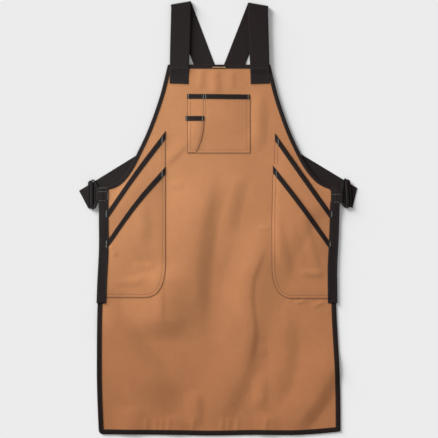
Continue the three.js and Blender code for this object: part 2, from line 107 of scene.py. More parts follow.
# Where one length of edge tape ends and the next begins.
BIB_JOIN = 112.0
ARMHOLE_JOIN = 284.0
ARMHOLE_JOIN_HEIGHT = 84.5
HEM_JOIN = -523.0

# Soft ridges in the canvas: points down the crest, reach to the west and to the east of it, and height.
BODY_FOLDS = (
    (((134, 0), (106, -86), (80, -156), (68, -213), (62, -283), (50, -347)), 72, 100, 5.5),
    (((126, -40), (100, -110), (83, -156), (79, -213), (87, -283), (79, -347), (58, -405)), 45, 15, 2.0),
    (((74, -240), (72, -310), (62, -365), (46, -404), (14, -474), (-12, -535)), 90, 44, 3.4),
    (((-4, 156), (-20, 95), (-46, 8), (-64, -110), (-68, -230), (-70, -320)), 120, 54, 8.2),
    (((-150, -105), (-148, -180), (-148, -240), (-150, -315)), 105, 92, 8.2),
    (((-148, -160), (-146, -215), (-146, -272)), 24, 13, 1.2),
    (((54, 126), (34, 62), (24, 5), (18, -50)), 45, 36, 3.0),
    (((-336, -190), (-288, -254), (-246, -303), (-202, -366), (-157, -417), (-86, -466)), 85, 54, 7.6),
    (((156, -214), (162, -270), (167, -340), (160, -400), (130, -455), (108, -508)), 50, 40, 2.8),
    (((318, -330), (276, -398), (244, -456), (200, -512), (170, -556)), 100, 42, 5.8),
    (((-60, -430), (-58, -480), (-60, -540)), 35, 24, 2.0),
    (((106, -385), (108, -430), (104, -490)), 28, 22, 1.6),
    (((110, -318), (114, -335), (118, -352)), 20, 12, 0.9),
    (((-228, -470), (-222, -520), (-226, -575)), 50, 44, 2.0),
    (((-112, -490), (-108, -520), (-110, -575)), 40, 40, 1.2),
    (((128, -490), (124, -525), (130, -575)), 40, 36, 1.8),
)
BIB_FOLDS = (
    (((-74, 202), (-100, 172), (-142, 132)), 28, 14, 1.4),
    (((100, 330), (103, 250), (98, 165)), 32, 26, 2.6),
    (((-8, 384), (-8, 350), (-4, 312)), 20, 17, 1.8),
    (((-46, 384), (-44, 355), (-48, 325)), 16, 14, 1.0),
    (((34, 384), (33, 355), (38, 325)), 16, 14, 1.0),
    (((-130, 84), (-108, 86), (-84, 82)), 14, 14, 0.8),
    (((100, -20), (118, -26), (134, -26)), 9, 9, 0.9),
)
POCKET_FOLDS = (
    (((-186, 126), (-232, 66), (-276, 6), (-316, -50)), 32, 44, 2.2),
    (((-196, 60), (-192, 0), (-188, -60)), 30, 24, 1.4),
    (((-280, -66), (-270, -80), (-256, -98)), 14, 12, 1.4),
    (((-222, -118), (-192, -122), (-158, -116)), 15, 15, 0.9),
    (((-276, -158), (-222, -162), (-172, -150)), 15, 18, 1.1),
    (((138, 20), (160, -74), (184, -172)), 24, 20, 1.5),
    (((212, 20), (236, -74), (260, -166)), 24, 16, 1.1),
    (((200, -132), (236, -140), (276, -136)), 15, 15, 1.2),
    (((192, -216), (208, -212), (226, -206)), 9, 9, 1.0),
    (((236, -224), (254, -217), (274, -208)), 9, 9, 1.0),
)
HEM_PUCKERS = (-186, -160, -146, -128, -66, 8, 24, 46, 118)
PUCKER = {"tall": 50.0, "lean": 3.0, "reach": 9.0, "height": 0.7}
FOLD_FADE = 0.3

# Bib pocket, whose mouth tilts to the right, and the pencil pocket sewn on its lower left.
BIB_POCKET = {"left": -79.0, "right": 80.0, "top": 316.0, "bottom": 166.0}
BIB_TILT = -1.4
BIB_TAPE = (-79.5, 78.5)
BIB_BULGE = 3.5
PENCIL_POCKET = {"left": -79.0, "right": -36.0, "top": 260.0, "bottom": 168.0}
PENCIL_FOOT = -57.0
PENCIL_SWELL = 205.0
PENCIL_TAPE = (-83.5, -36.5)
PENCIL_BULGE = 1.5
PENCIL_SEAMS = (-38.5, -32.5)

# Hand pockets, measured out from the middle line. Each mouth slants down from the inner seam to the
# outer edge: its two ends, and how far it bows up between them.
POCKET_SEAM = 135.5
POCKET_EDGE = 285.0
STRIP_INNER = 280.0
POCKET_FOOT = -200.0
SEAM_SHIFT = {"left": 0.0, "right": -2.2}
FOOT_SHIFT = {"left": -0.3, "right": -3.0}
POCKET_CORNER = (54.0, 88.0)
MOUTHS = {
    "left": {
        "upper": ((135.5, 222.0), (280.0, 23.0), 4.0),
        "lower": ((135.5, 132.0), (280.0, -51.0), 8.0),
    },
    "right": {
        "upper": ((142.0, 217.0), (280.0, 22.0), -1.5),
        "lower": ((137.0, 135.0), (280.0, -57.0), 2.5),
    },
}
MOUTH_TAPES = {"left": 12.5, "right": 11.6}
BOW_POWER = 1.5
POCKET_BULGE = 2.4
BULGE_FADES_FROM = 0.35
UPPER_INSET = 0.8

# Webbing strip down each side: points of its middle line, from its top to its foot.
STRIPS = {
    "left": ((-291.4, 42.5), (-291.3, -5.0), (-291.4, -80.0), (-295.2, -156.0), (-297.4, -215.0)),
    "right": ((295.5, 42.5), (293.2, -40.0), (289.2, -120.0), (289.2, -170.0), (289.8, -215.0)),
}

# Shoulder straps in plan, as x + yj: the sewn end, the fold, the bend behind the bib, and the buckle.
STRAPS = {
    "left": {
        "sewn": -100.2 + 342j,
        "fold": -94.8 + 543j,
        "bend": 17.7 + 250.3j,
        "buckle": "right",
        "over": 0,
    },
    "right": {
        "sewn": 105.8 + 342j,
        "fold": 100 + 539.5j,
        "bend": -15 + 250.5j,
        "buckle": "left",
        "over": 1,
    },
}
BEND_RADIUS = 450.0
CROSSING = 1 + 320j
CROSSING_FLAT = 56.0
CROSSING_RAMP = 60.0

# Ladder-lock buckles: bars along the length, slots between them, counted outwards from the body.
BUCKLES = {
    "left": {"at": -318.5 + 61j, "tilt": 0.0, "tail": 24.2, "tail_skew": 4.0},
    "right": {"at": 323.5 + 63.5j, "tilt": 3.0, "tail": 22.6, "tail_skew": 18.0},
}
BUCKLE_SLANT = 0.61
BUCKLE_BAR = 2.6
BUCKLE_SLOTS = (4.0, 5.5, 5.5)
BUCKLE_THICK = 2.8
BUCKLE_WIDTH = 4 * BUCKLE_BAR + sum(BUCKLE_SLOTS)
BUCKLE_LOW = 3.5
WEAVE_EASE = 0.2

# Webbing tab that holds each buckle to the body's side.
TAB_PLY = 1.3
TAB_LENGTH = 36.0
TAB_SEWN = {"left": 29.0, "right": 28.5}
TAB_MIDDLE_Y = {"left": 61.0, "right": 57.5}
TAB_UNDER_TOP = 3.2
TAB_OVER_LOW = 7.4

# The photograph's frame, straight down on the apron: pattern origin and size of a pixel.
IMAGE_SIZE = 438
PIXEL = 2.54
ORIGIN_PIXEL = 218.5

POCKET_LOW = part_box("bib_pocket")[0]
SHIFT = np.array([POCKET_LOW.x / MM - BIB_POCKET["left"], POCKET_LOW.y / MM - BIB_POCKET["bottom"], 0])


def metres(points):
    return (np.asarray(points, float) + SHIFT) * MM


# Curves in plan


def spline(points, steps):
    """Points along a smooth curve through the given ones."""
    p = np.array(points, float)
    p = np.vstack([p[:1], p, p[-1:]])
    t = np.linspace(0, 1, steps, endpoint=False)[:, None]
    runs = []
    for i in range(1, len(p) - 2):
        leave = (p[i + 1] - p[i - 1]) / 2
        arrive = (p[i + 2] - p[i]) / 2
        rise = t * t * (3 - 2 * t)
        runs.append(p[i] + (p[i + 1] - p[i]) * rise + leave * t * (1 - t) ** 2 - arrive * t * t * (1 - t))
    return np.vstack([*runs, p[-1:]])


def quadratic(start, control, end, steps):
    t = np.linspace(0, 1, steps + 1)[:, None]
    return np.array(start) * (1 - t) ** 2 + 2 * np.array(control) * t * (1 - t) + np.array(end) * t * t


def densify(path, spacing):
    """The path with its long stretches divided."""
    path = np.asarray(path, float)
    runs = []
    for a, b in zip(path[:-1], path[1:]):
        count = max(1, math.ceil(np.linalg.norm(b - a) / spacing))
        runs.append(a + (b - a) * np.linspace(0, 1, count, endpoint=False)[:, None])
    return np.vstack([*runs, path[-1:]])


def along(path):
    """Length of the path up to each of its points."""
    return np.concatenate([[0], np.cumsum(np.linalg.norm(np.diff(path, axis=0), axis=1))])


def resample(path, spacing):
    """Evenly spaced points along the path."""
    length = along(path)
    count = max(2, round(length[-1] / spacing) + 1)
    at = np.linspace(0, length[-1], count)
    return np.column_stack([np.interp(at, length, column) for column in np.asarray(path).T])


def offset(path, distance, closed=False):
    """The path moved to its left, with mitred corners."""
    step = np.roll(path, -1, axis=0) - path
    if not closed:
        step[-1] = step[-2]
    step = step / np.linalg.norm(step, axis=1)[:, None]
    after = np.column_stack([-step[:, 1], step[:, 0]])
    before = np.roll(after, 1, axis=0)
    if not closed:
        before[0] = after[0]
    scale = distance / (1 + (after * before).sum(axis=1))
    return path + (after + before) * scale[:, None]


def sharp_corners(path):
    """Places in the path where it turns sharply."""
    step = np.diff(path, axis=0)
    turn = np.diff(np.unwrap(np.arctan2(step[:, 1], step[:, 0])))
    return np.flatnonzero(np.abs(turn) > math.radians(30)) + 1


def without_crowding(path, reach):
    """The path without the points that lie nearer than reach to one of its sharp corners."""
    corners = sharp_corners(path)
    keep = np.ones(len(path), bool)
    for corner in corners:
        keep &= np.linalg.norm(path - path[corner], axis=1) > reach
    keep[[0, -1]] = True
    keep[corners] = True
    return path[keep]


def turned_in(path, inset):
    """The edge's path moved in, with its sharp corners rounded about the edge's own centres."""
    moved = offset(path, inset)
    runs = np.split(moved, np.sort(np.concatenate([sharp_corners(path), sharp_corners(path) + 1])))
    for i in range(1, len(runs), 2):
        corner = runs[i][0]
        hem = HEM_ROUNDS["left" if corner[0] < MIDDLE else "right"]
        reach = max((CORNER_ROUND if corner[1] > 0 else hem) - inset, 0.3)
        ends = []
        for near in (runs[i - 1][-1], runs[i + 1][0]):
            ends.append(corner + reach * (near - corner) / np.linalg.norm(near - corner))
        runs[i] = quadratic(ends[0], corner, ends[1], 6)
    return np.vstack(runs)


def signed_area(loop):
    x, y = np.asarray(loop).T
    return (x * np.roll(y, -1) - y * np.roll(x, -1)).sum() / 2


def anticlockwise(loop):
    return loop if signed_area(loop) > 0 else loop[::-1]


def distance(x, y, path):
    """Distance of each point of the plan from an open path."""
    nearest = np.full(np.shape(x), np.inf)
    for (ax, ay), (bx, by) in zip(path[:-1], path[1:]):
        dx, dy = bx - ax, by - ay
        share = np.clip(((x - ax) * dx + (y - ay) * dy) / (dx * dx + dy * dy), 0, 1)
        nearest = np.minimum(nearest, np.hypot(x - ax - share * dx, y - ay - share * dy))
    return nearest


def closed(loop):
    return np.vstack([loop, loop[:1]])


def inside(x, y, loops):
    found = np.zeros(np.shape(x), bool)
    for loop in loops:
        for (ax, ay), (bx, by) in zip(loop, np.roll(loop, -1, axis=0)):
            if ay != by:
                found ^= ((ay > y) != (by > y)) & (x < ax + (bx - ax) * (y - ay) / (by - ay))
    return found


def clearance(x, y, loops):
    """Distance of each point from the loops' edges, or -1 where it isn't inside them."""
    nearest = np.min([distance(x, y, closed(loop)) for loop in loops], axis=0)
    return np.where(inside(x, y, loops), nearest, -1)


# Heights of the cloth over the plan


def smooth(start, end, value):
    t = np.clip((value - start) / (end - start), 0, 1)
    return t * t * (3 - 2 * t)


def all_folds():
    """Every ridge, with its crest as a smooth line."""
    pucker = PUCKER["reach"]
    hem = HEM_EDGE[2][1]
    puckers = []
    for x in HEM_PUCKERS:
        crest = ((x + PUCKER["lean"], hem + PUCKER["tall"]), (x, hem))
        puckers.append((crest, pucker, pucker, PUCKER["height"]))
    folds = [*BODY_FOLDS, *BIB_FOLDS, *POCKET_FOLDS, *puckers]
    return [(spline(crest, 4), west, east, height) for crest, west, east, height in folds]


FOLDS = all_folds()


def ridge(x, y, crest, west, east, height):
    """A soft ridge that fades out towards the ends of its crest."""
    length = along(crest)
    nearest = np.full(np.shape(x), np.inf)
    place = np.zeros(np.shape(x))
    reach = np.ones(np.shape(x))
    for (ax, ay), (bx, by), start, end in zip(crest[:-1], crest[1:], length[:-1], length[1:]):
        dx, dy = bx - ax, by - ay
        share = np.clip(((x - ax) * dx + (y - ay) * dy) / (dx * dx + dy * dy), 0, 1)
        away = np.hypot(x - ax - share * dx, y - ay - share * dy)
        is_east = (x - ax) * dy < (y - ay) * dx
        nearer = away < nearest
        place = np.where(nearer, (start + share * (end - start)) / length[-1], place)
        reach = np.where(nearer, np.where(is_east, east, west), reach)
        nearest = np.minimum(nearest, away)
    fade = smooth(0, FOLD_FADE, place) * smooth(1, 1 - FOLD_FADE, place)
    return height * fade * (1 - np.minimum(nearest / reach, 1) ** 2) ** 2


def body_low(x, y):
    to_side = smooth(*LIFT_SIDES, np.abs(x - MIDDLE))
    begins, is_full = (middle + (side - middle) * to_side for middle, side in zip(MIDDLE_LIFT, SIDE_LIFT))
    return REST + STRAP_LIFT * smooth(begins, is_full, y) + sum(ridge(x, y, *fold) for fold in FOLDS)


def body_high(x, y):
    return body_low(x, y) + CANVAS


def pocket_bulge(bulge, across, down):
    """How far a pocket stands off: nothing at its side seams and foot, most along its mouth."""
    s = np.clip(across, 0, 1)
    return bulge * 4 * s * (1 - s) * (1 - smooth(BULGE_FADES_FROM, 1, down))


def mouth_height(mouth, u):
    (inner, inner_y), (outer, outer_y), bow = mouth
    share = (u - inner) / (outer - inner)
    return inner_y + (outer_y - inner_y) * share + bow * np.clip(4 * share * (1 - share), 0, 1) ** BOW_POWER


def hand_pocket_bulge(mouth, x, y):
    u = np.abs(x - MIDDLE)
    top = mouth_height(mouth, u)
    across = (u - POCKET_SEAM) / (STRIP_INNER - POCKET_SEAM)
    return pocket_bulge(POCKET_BULGE, across, (top - y) / (top - POCKET_FOOT))


def patch_bulge(pocket, bulge, x, y):
    across = (x - pocket["left"]) / (pocket["right"] - pocket["left"])
    down = (pocket["top"] - y) / (pocket["top"] - pocket["bottom"])
    return pocket_bulge(bulge, across, down)


# Rows of stitches dent the cloth that they hold down, and the cloth is double where its edge is turned in.
GROOVE_DEPTH = 0.2
GROOVE_REACH = 1.3
TURNED = 0.1
TURNED_WIDTH = 9.2
TURNED_EASE = 2.0
TURNED_SLOPE = 20.0


def grooved(flat, rows):
    """A height with the dents along rows of stitches."""

    def dented(x, y):
        depth = np.zeros(np.shape(x))
        for row in rows:
            depth = np.maximum(depth, np.exp(-((distance(x, y, row) / GROOVE_REACH) ** 2) * 2))
        return flat(x, y) - GROOVE_DEPTH * depth

    return dented


def turned_edge(x, y, edge_line):
    away = distance(x, y, edge_line)
    return TURNED * smooth(0, TURNED_EASE, away) * (1 - smooth(TURNED_WIDTH - 1, TURNED_WIDTH, away))


# Meshes

APRON = bpy.data.collections.new("apron")
bpy.context.scene.collection.children.link(APRON)


def add_piece(name, points, faces, plan, material):
    """A smooth mesh in the shared frame. plan holds the weave's own coordinates, in millimetres."""
    mesh = bpy.data.meshes.new(name)
    mesh.from_pydata(metres(points).tolist(), [], faces)
    bm = bmesh.new()
    bm.from_mesh(mesh)
    bmesh.ops.recalc_face_normals(bm, faces=bm.faces)
    bm.to_mesh(mesh)
    bm.free()
    corners = np.zeros(len(mesh.loops), np.int32)
    mesh.loops.foreach_get("vertex_index", corners)
    layer = mesh.uv_layers.new(name=WEAVE_MAP)
    layer.data.foreach_set("uv", np.asarray(plan, np.float32)[corners].ravel())
    mesh.materials.append(material)
    mesh.shade_smooth()
    piece = bpy.data.objects.new(name, mesh)
    APRON.objects.link(piece)
    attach(piece, "root")
    return piece


def dress(piece, slot, *nodes):
    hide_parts(*nodes)
    return piece


# A round edge: shares of the rim's width, and of half the thickness, from the edge inwards.
RIM = ((0.0, 1.0), (0.12, 0.53), (0.45, 0.17), (1.0, 0.0))
WEAVE_MAP = "Weave"


def hexagons(loop, step):
    """A field of points over a loop's box."""
    low, high = loop.min(axis=0), loop.max(axis=0)
    rows = np.arange(low[1], high[1], step * math.sqrt(3) / 2)
    columns = np.arange(low[0], high[0], step)
    x, y = np.meshgrid(columns, rows)
    x = x + np.where(np.arange(len(rows)) % 2, step / 2, 0)[:, None]
    return x.ravel(), y.ravel()


def panel(name, loops, low, high, step, rim, material, rows=()):
    """A closed sheet with round edges, between two heights. The first loop is its outline and the others
    are holes. rows are lines of stitches, along which the mesh is finer."""
    loops = [anticlockwise(loops[0]), *(anticlockwise(hole)[::-1] for hole in loops[1:])]
    rings = [offset(loop, share * rim, closed=True) for loop in loops for share, _ in RIM]
    drops = [np.full(len(loop), drop) for loop in loops for _, drop in RIM]
    guides = [offset(row, shift * GROOVE_REACH) for row in rows for shift in (-1, 0, 1)]
    guides = [guide[clearance(*guide.T, loops) > rim] for guide in guides]
    x, y = hexagons(loops[0], step)
    away = clearance(x, y, loops) - rim
    for guide in guides:
        away = np.minimum(away, distance(x, y, guide))
    kept = away > 0.6 * step
    spread = np.column_stack([x[kept], y[kept]])
    ring_count = sum(len(ring) for ring in rings)
    plan = np.vstack([*rings, *guides, spread])
    drop = np.concatenate([*drops, np.zeros(len(plan) - ring_count)])

    edges = []
    start = 0
    for loop in loops:
        index = start + np.arange(len(loop))
        edges += np.column_stack([index, np.roll(index, -1)]).tolist()
        start += len(loop) * len(RIM)
    found = delaunay_2d_cdt([Vector(p) for p in plan], edges, [], 0, 1e-6)
    corners = np.array([[found[3][v][0] for v in face] for face in found[2]])
    centres = plan[corners].mean(axis=1)
    on_rim = (corners < ring_count).all(axis=1)
    kept = ~on_rim
    kept[on_rim] = inside(*centres[on_rim].T, loops)
    corners = corners[kept]

    lows, highs = low(*plan.T), high(*plan.T)
    half = (highs - lows) / 2
    over = np.column_stack([plan, highs - drop * half])
    under = np.column_stack([plan, lows + drop * half])
    apart = drop < 1
    below = np.where(apart, len(plan) + np.cumsum(apart) - 1, np.arange(len(plan)))
    faces = np.vstack([corners, below[corners][:, ::-1]])
    return add_piece(
        name,
        np.vstack([over, under[apart]]),
        faces.tolist(),
        np.vstack([plan, plan[apart]]),
        material,
    )


def band(name, outer, inner, material):
    """A strip with thickness, between matching grids of points on its two faces."""
    rows, columns = outer.shape[:2]
    count = rows * columns
    index = np.arange(count).reshape(rows, columns)
    quads = np.stack([index[:-1, :-1], index[:-1, 1:], index[1:, 1:], index[1:, :-1]], axis=-1)
    quads = quads.reshape(-1, 4)
    rim = np.concatenate([index[0], index[1:, -1], index[-1, -2::-1], index[-2:0:-1, 0]])
    walls = np.column_stack([rim, np.roll(rim, -1), np.roll(rim, -1) + count, rim + count])
    faces = np.vstack([quads, quads[:, ::-1] + count, walls])
    across = along(outer[rows // 2])
    length = along((outer[:, columns // 2] + inner[:, columns // 2]) / 2)
    plan = np.stack(np.meshgrid(across, length), axis=-1).reshape(-1, 2)
    points = np.vstack([outer.reshape(-1, 3), inner.reshape(-1, 3)])
    return add_piece(name, points, faces.tolist(), np.vstack([plan, plan]), material)


# Materials


def node(tree, kind, inputs=None, **settings):
    made = tree.nodes.new(kind)
    for key, value in settings.items():
        setattr(made, key, value)
    for key, value in (inputs or {}).items():
        if isinstance(value, bpy.types.NodeSocket):
            tree.links.new(value, made.inputs[key])
        else:
            made.inputs[key].default_value = value
    return made


def math_node(tree, operation, *values):
    return node(tree, "ShaderNodeMath", dict(enumerate(values)), operation=operation).outputs[0]


def linear(*srgb):
    """A colour given as the 0 to 255 that a screen shows."""
    shares = [value / 255 for value in srgb]
    return tuple(s / 12.92 if s <= 0.04045 else ((s + 0.055) / 1.055) ** 2.4 for s in shares) + (1.0,)


def finish(name, roughness, specular, sheen=0.0):
    material = bpy.data.materials.new(name)
    material.use_nodes = True
    shader = material.node_tree.nodes["Principled BSDF"]
    shader.inputs["Roughness"].default_value = roughness
    shader.inputs["Specular IOR Level"].default_value = specular
    shader.inputs["Sheen Weight"].default_value = sheen
    return material, material.node_tree, shader


def colour_by(tree, shader, share, dark, light):
    """Lets a share from 0 to 1 choose the colour between two."""
    ramp = node(tree, "ShaderNodeValToRGB", {"Fac": share})
    ramp.color_ramp.elements[0].color = dark
    ramp.color_ramp.elements[1].color = light
    tree.links.new(ramp.outputs["Color"], shader.inputs["Base Color"])


def bump_by(tree, shader, height, depth, strength):
    bump = node(tree, "ShaderNodeBump", {"Height": height, "Distance": depth * MM, "Strength": strength})
    tree.links.new(bump.outputs["Normal"], shader.inputs["Normal"])


def waves(tree, place, direction, period):
    """Ripples from 0 to 1 with a period in millimetres."""
    scale = 2 * math.pi / (20 * period)
    settings = {"wave_type": "BANDS", "bands_direction": direction, "wave_profile": "SIN"}
    return node(tree, "ShaderNodeTexWave", {"Vector": place, "Scale": scale}, **settings).outputs["Fac"]


def noise(tree, place, stretch, detail=2.0):
    """Noise from 0 to 1, with its grain's size along each axis in millimetres."""
    scale = [1 / grain for grain in stretch]
    moved = node(tree, "ShaderNodeMapping", {"Vector": place, "Scale": (*scale, 1)}).outputs["Vector"]
    inputs = {"Vector": moved, "Scale": 1.0, "Detail": detail, "Roughness": 0.6}
    return node(tree, "ShaderNodeTexNoise", inputs).outputs["Fac"]


def weave_place(tree):
    return node(tree, "ShaderNodeUVMap", uv_map=WEAVE_MAP).outputs["UV"]


def blended(tree, *parts):
    """Sum of shares, each with its weight, about a half."""
    total = 0.5
    for share, weight in parts:
        centred = math_node(tree, "SUBTRACT", share, 0.5)
        total = math_node(tree, "MULTIPLY_ADD", centred, weight, total)
    return total


def make_canvas():
    material, tree, shader = finish("canvas", 0.92, 0.2, sheen=0.05)
    place = weave_place(tree)
    warp = waves(tree, place, "X", 0.62)
    weft = waves(tree, place, "Y", 0.7)
    weave = math_node(tree, "MULTIPLY", warp, weft)
    slub = noise(tree, place, (0.9, 28.0))
    pick = noise(tree, place, (34.0, 1.1))
    cloud = noise(tree, place, (70.0, 90.0), detail=4.0)
    share = blended(tree, (weave, 0.35), (slub, 0.55), (pick, 0.45), (cloud, 0.5))
    colour_by(tree, shader, share, linear(151, 96, 61), linear(182, 121, 79))
    bump_by(tree, shader, blended(tree, (weave, 0.8), (slub, 0.5), (pick, 0.4)), 0.25, 0.5)
    return material


def make_tape():
    material, tree, shader = finish("tape", 0.85, 0.1)
    place = weave_place(tree)
    ribs = waves(tree, place, "DIAGONAL", 0.8)
    grain = noise(tree, place, (1.2, 9.0))
    share = blended(tree, (ribs, 0.4), (grain, 0.7))
    colour_by(tree, shader, share, linear(24, 16, 14), linear(39, 29, 26))
    bump_by(tree, shader, ribs, 0.25, 0.5)
    return material


def make_webbing():
    material, tree, shader = finish("webbing", 0.78, 0.12)
    place = weave_place(tree)
    ribs = waves(tree, place, "Y", 1.7)
    cords = waves(tree, place, "X", 2.4)
    grain = noise(tree, place, (1.0, 14.0))
    weave = math_node(tree, "MULTIPLY", ribs, cords)
    share = blended(tree, (weave, 0.5), (grain, 0.7))
    colour_by(tree, shader, share, linear(24, 17, 15), linear(39, 30, 28))
    bump_by(tree, shader, blended(tree, (ribs, 0.6), (weave, 0.6)), 0.5, 0.6)
    return material


def make_plastic():
    material, tree, shader = finish("moulded_plastic", 0.55, 0.12)
    place = weave_place(tree)
    grain = noise(tree, place, (0.7, 0.7), detail=3.0)
    scuff = noise(tree, place, (9.0, 14.0), detail=5.0)
    share = blended(tree, (grain, 0.3), (scuff, 0.8))
    colour_by(tree, shader, share, linear(17, 14, 14), linear(33, 29, 28))
    bump_by(tree, shader, grain, 0.08, 0.4)
    return material


def make_thread(name, dark, light):
    material, tree, shader = finish(name, 0.6, 0.35, sheen=0.1)
    place = weave_place(tree)
    twist = waves(tree, place, "DIAGONAL", 0.5)
    colour_by(tree, shader, blended(tree, (twist, 0.8)), dark, light)
    bump_by(tree, shader, twist, 0.1, 0.6)
    return material


CANVAS_CLOTH = make_canvas()
BLACK_TAPE = make_tape()
BLACK_WEBBING = make_webbing()
BLACK_PLASTIC = make_plastic()
TAN_THREAD = make_thread("tan_thread", linear(108, 67, 41), linear(146, 95, 61))
# Brown thread for the pockets' edge rows: partly real stitching, and partly painted shade of the gap and
# step along each pocket's edge.
BROWN_THREAD_WITH_SEAM_SHADE = make_thread("brown_thread_with_painted_seam_shade", linear(102, 59, 34), linear(134, 82, 50))
SAND_THREAD = make_thread("sand_thread", linear(176, 136, 98), linear(214, 172, 130))
BLACK_THREAD = make_thread("black_thread", linear(14, 12, 12), linear(38, 33, 32))
PALE_THREAD = make_thread("pale_thread", linear(100, 97, 92), linear(158, 154, 148))
GREY_THREAD = make_thread("grey_thread", linear(70, 67, 64), linear(118, 114, 108))

# Stitches: the pitch along each kind of row, and the thread's width. The edge rows of the hand pockets and
# the bib pocket are wider than real thread, so that their brown thread also paints the shade along the
# pockets' edges.
TAPE_STITCHES = (3.2, 0.7)
POCKET_EDGE_STITCHES = (3.0, 1.7)
POCKET_STITCHES = (3.0, 1.0)
BIB_EDGE_STITCHES = (2.6, 1.7)
BIB_STITCHES = (2.6, 1.0)
BIB_MOUTH_STITCHES = (3.0, 0.7)
BIB_TOP_STITCHES = (3.0, 1.7)
STRIP_STITCHES = (3.4, 0.7)
STRAP_STITCHES = (3.4, 0.8)
TAB_STITCHES = (2.4, 0.8)
BARTACK_STITCHES = (0.75, 0.55)
BARTACK_WIDTH = 1.6

# How far seams stand on canvas, and the share of the tape's thickness that its own stitches lie at.
STITCH_RISE = 0.1
TAPE_STITCH_RISE = 0.8

STITCH_SIDES = 6
STITCH_RINGS = ((-1.0, 0.45), (-0.55, 1.0), (0.55, 1.0), (1.0, 0.45))


def thread(name, rows, pitch, width, material, over=0.0):
    """Separate stitches along rows of points. over is their length where they lie across the row."""
    centres, headings = [], []
    for row in rows:
        row = resample(row, pitch)
        centres.append((row[1:] + row[:-1]) / 2)
        headings.append(np.diff(row, axis=0))
    centres = np.vstack(centres)
    headings = np.vstack(headings)
    headings /= np.linalg.norm(headings, axis=1)[:, None]
    aside = np.cross([0.0, 0.0, 1.0], headings)
    aside /= np.linalg.norm(aside, axis=1)[:, None]
    if over:
        headings, aside = aside, headings
    upright = np.cross(headings, aside)
    upright *= np.sign(upright[:, 2:])
    reach = over / 2 or 0.45 * pitch
    turn = 2 * math.pi * np.arange(STITCH_SIDES) / STITCH_SIDES
    local = [
        (a * reach, r * math.cos(t) * width / 2, r * math.sin(t) * width / 2)
        for a, r in STITCH_RINGS
        for t in turn
    ]
    local = np.array(local)
    frames = np.stack([headings, aside, upright], axis=1)
    points = (centres[:, None, :] + local @ frames).reshape(-1, 3)
    ring = np.arange(STITCH_SIDES)
    after = np.roll(ring, -1)
    last = len(STITCH_RINGS) - 1
    wall = np.column_stack([ring, after, after + STITCH_SIDES, ring + STITCH_SIDES])
    sides = [wall + STITCH_SIDES * k for k in range(last)]
    starts = (len(local) * np.arange(len(centres)))[:, None, None]
    quads = (np.vstack(sides)[None] + starts).reshape(-1, 4).tolist()
    ends = np.stack([ring[::-1], ring + last * STITCH_SIDES])
    caps = (ends[None] + starts).reshape(-1, STITCH_SIDES).tolist()
    plan = np.tile(local[:, :2], (len(centres), 1))
    return add_piece(name, points, quads + caps, plan, material)


def on(height, path, rise=0.0):
    """A path of the plan, laid on a height."""
    path = np.asarray(path, float)
    return np.column_stack([path, height(*path.T) + rise])


# Body and its edge tape


def edge(rows, column):
    return [(row[column], row[0]) for row in rows]


def body_outline():
    """The edge from the middle of the bib's top, down its left and round, with room at its corners."""
    runs = [
        [(MIDDLE, BIB_TOP)],
        spline(edge(ARMHOLE_EDGE, 1), 10),
        spline(edge(SIDE_EDGE, 1), 16)[1:],
        spline([*HEM_EDGE, edge(SIDE_EDGE, 2)[-1]], 12),
        spline(edge(SIDE_EDGE, 2)[::-1], 16)[1:],
        spline(edge(ARMHOLE_EDGE, 2)[::-1], 10)[1:],
        [(MIDDLE, BIB_TOP)],
    ]
    return without_crowding(densify(np.vstack(runs), 5.0), TAPE_WIDTH + 1)[:-1]


BODY_OUTLINE = body_outline()

# Spacing of each mesh's points, and the width of its round edge.
BODY_STEP = 4.2
POCKET_STEP = 4.0
PATCH_STEP = 3.0
PENCIL_STEP = 2.5
CLOTH_RIM = 0.5
BUCKLE_STEP = 1.6
BUCKLE_RIM = 0.8

body_loop = turned_in(closed(BODY_OUTLINE), WRAP)[:-1]
body = panel("soft_body_panel", [body_loop], body_low, body_high, BODY_STEP, CLOTH_RIM, CANVAS_CLOTH)
dress(body, "canvas", "body_panel")

# Tape folded round an edge: its stitches' distance from its inner edge, and how far its outer and its inner
# face round off at the fold.
TAPE_STITCH = 2.2
TAPE_FOLD = 1.6
TAPE_FOLD_INNER = 0.5


def folded_section(width, turns, back):
    """Rows of outer inset, inner inset, height share and thickness share, from the front's inner edge over
    the fold."""
    front = (
        (width, 0.3),
        (width - 0.4, 0.85),
        (width - 1.1, 1.0),
        (width - TAPE_STITCH, 0.72),
        (width - 3.4, 1.0),
        (width / 2, 1.08),
        (2.4, 1.05),
    )
    rows = [(inset, inset, 1.0, thick) for inset, thick in front]
    for degrees in turns:
        turn = math.radians(degrees)
        round_off = 1 - math.cos(turn)
        rows.append((TAPE_FOLD * round_off, TAPE + TAPE_FOLD_INNER * round_off, math.sin(turn), 1.0))
    if back:
        rows += [(inset, inset, -1.0, thick) for inset, thick in front[::-1]]
    return rows


def folded_tape(name, path, section, slide, low, high):
    """Tape over the edge of a sheet. slide gives the path moved in from the edge."""
    faces = []
    for own, gap_only in ((0, False), (1, True)):
        columns = []
        for row in section:
            plan = slide(path, row[own])
            lows, highs = low(*plan.T), high(*plan.T)
            reach = (highs - lows) / 2 + PLY_GAP + (0 if gap_only else TAPE * row[3])
            columns.append(np.column_stack([plan, (lows + highs) / 2 + row[2] * reach]))
        faces.append(np.stack(columns, axis=1))
    return band(name, *faces, BLACK_TAPE)


def outline_index(x, y):
    return int(np.argmin(np.hypot(BODY_OUTLINE[:, 0] - x, BODY_OUTLINE[:, 1] - y)))


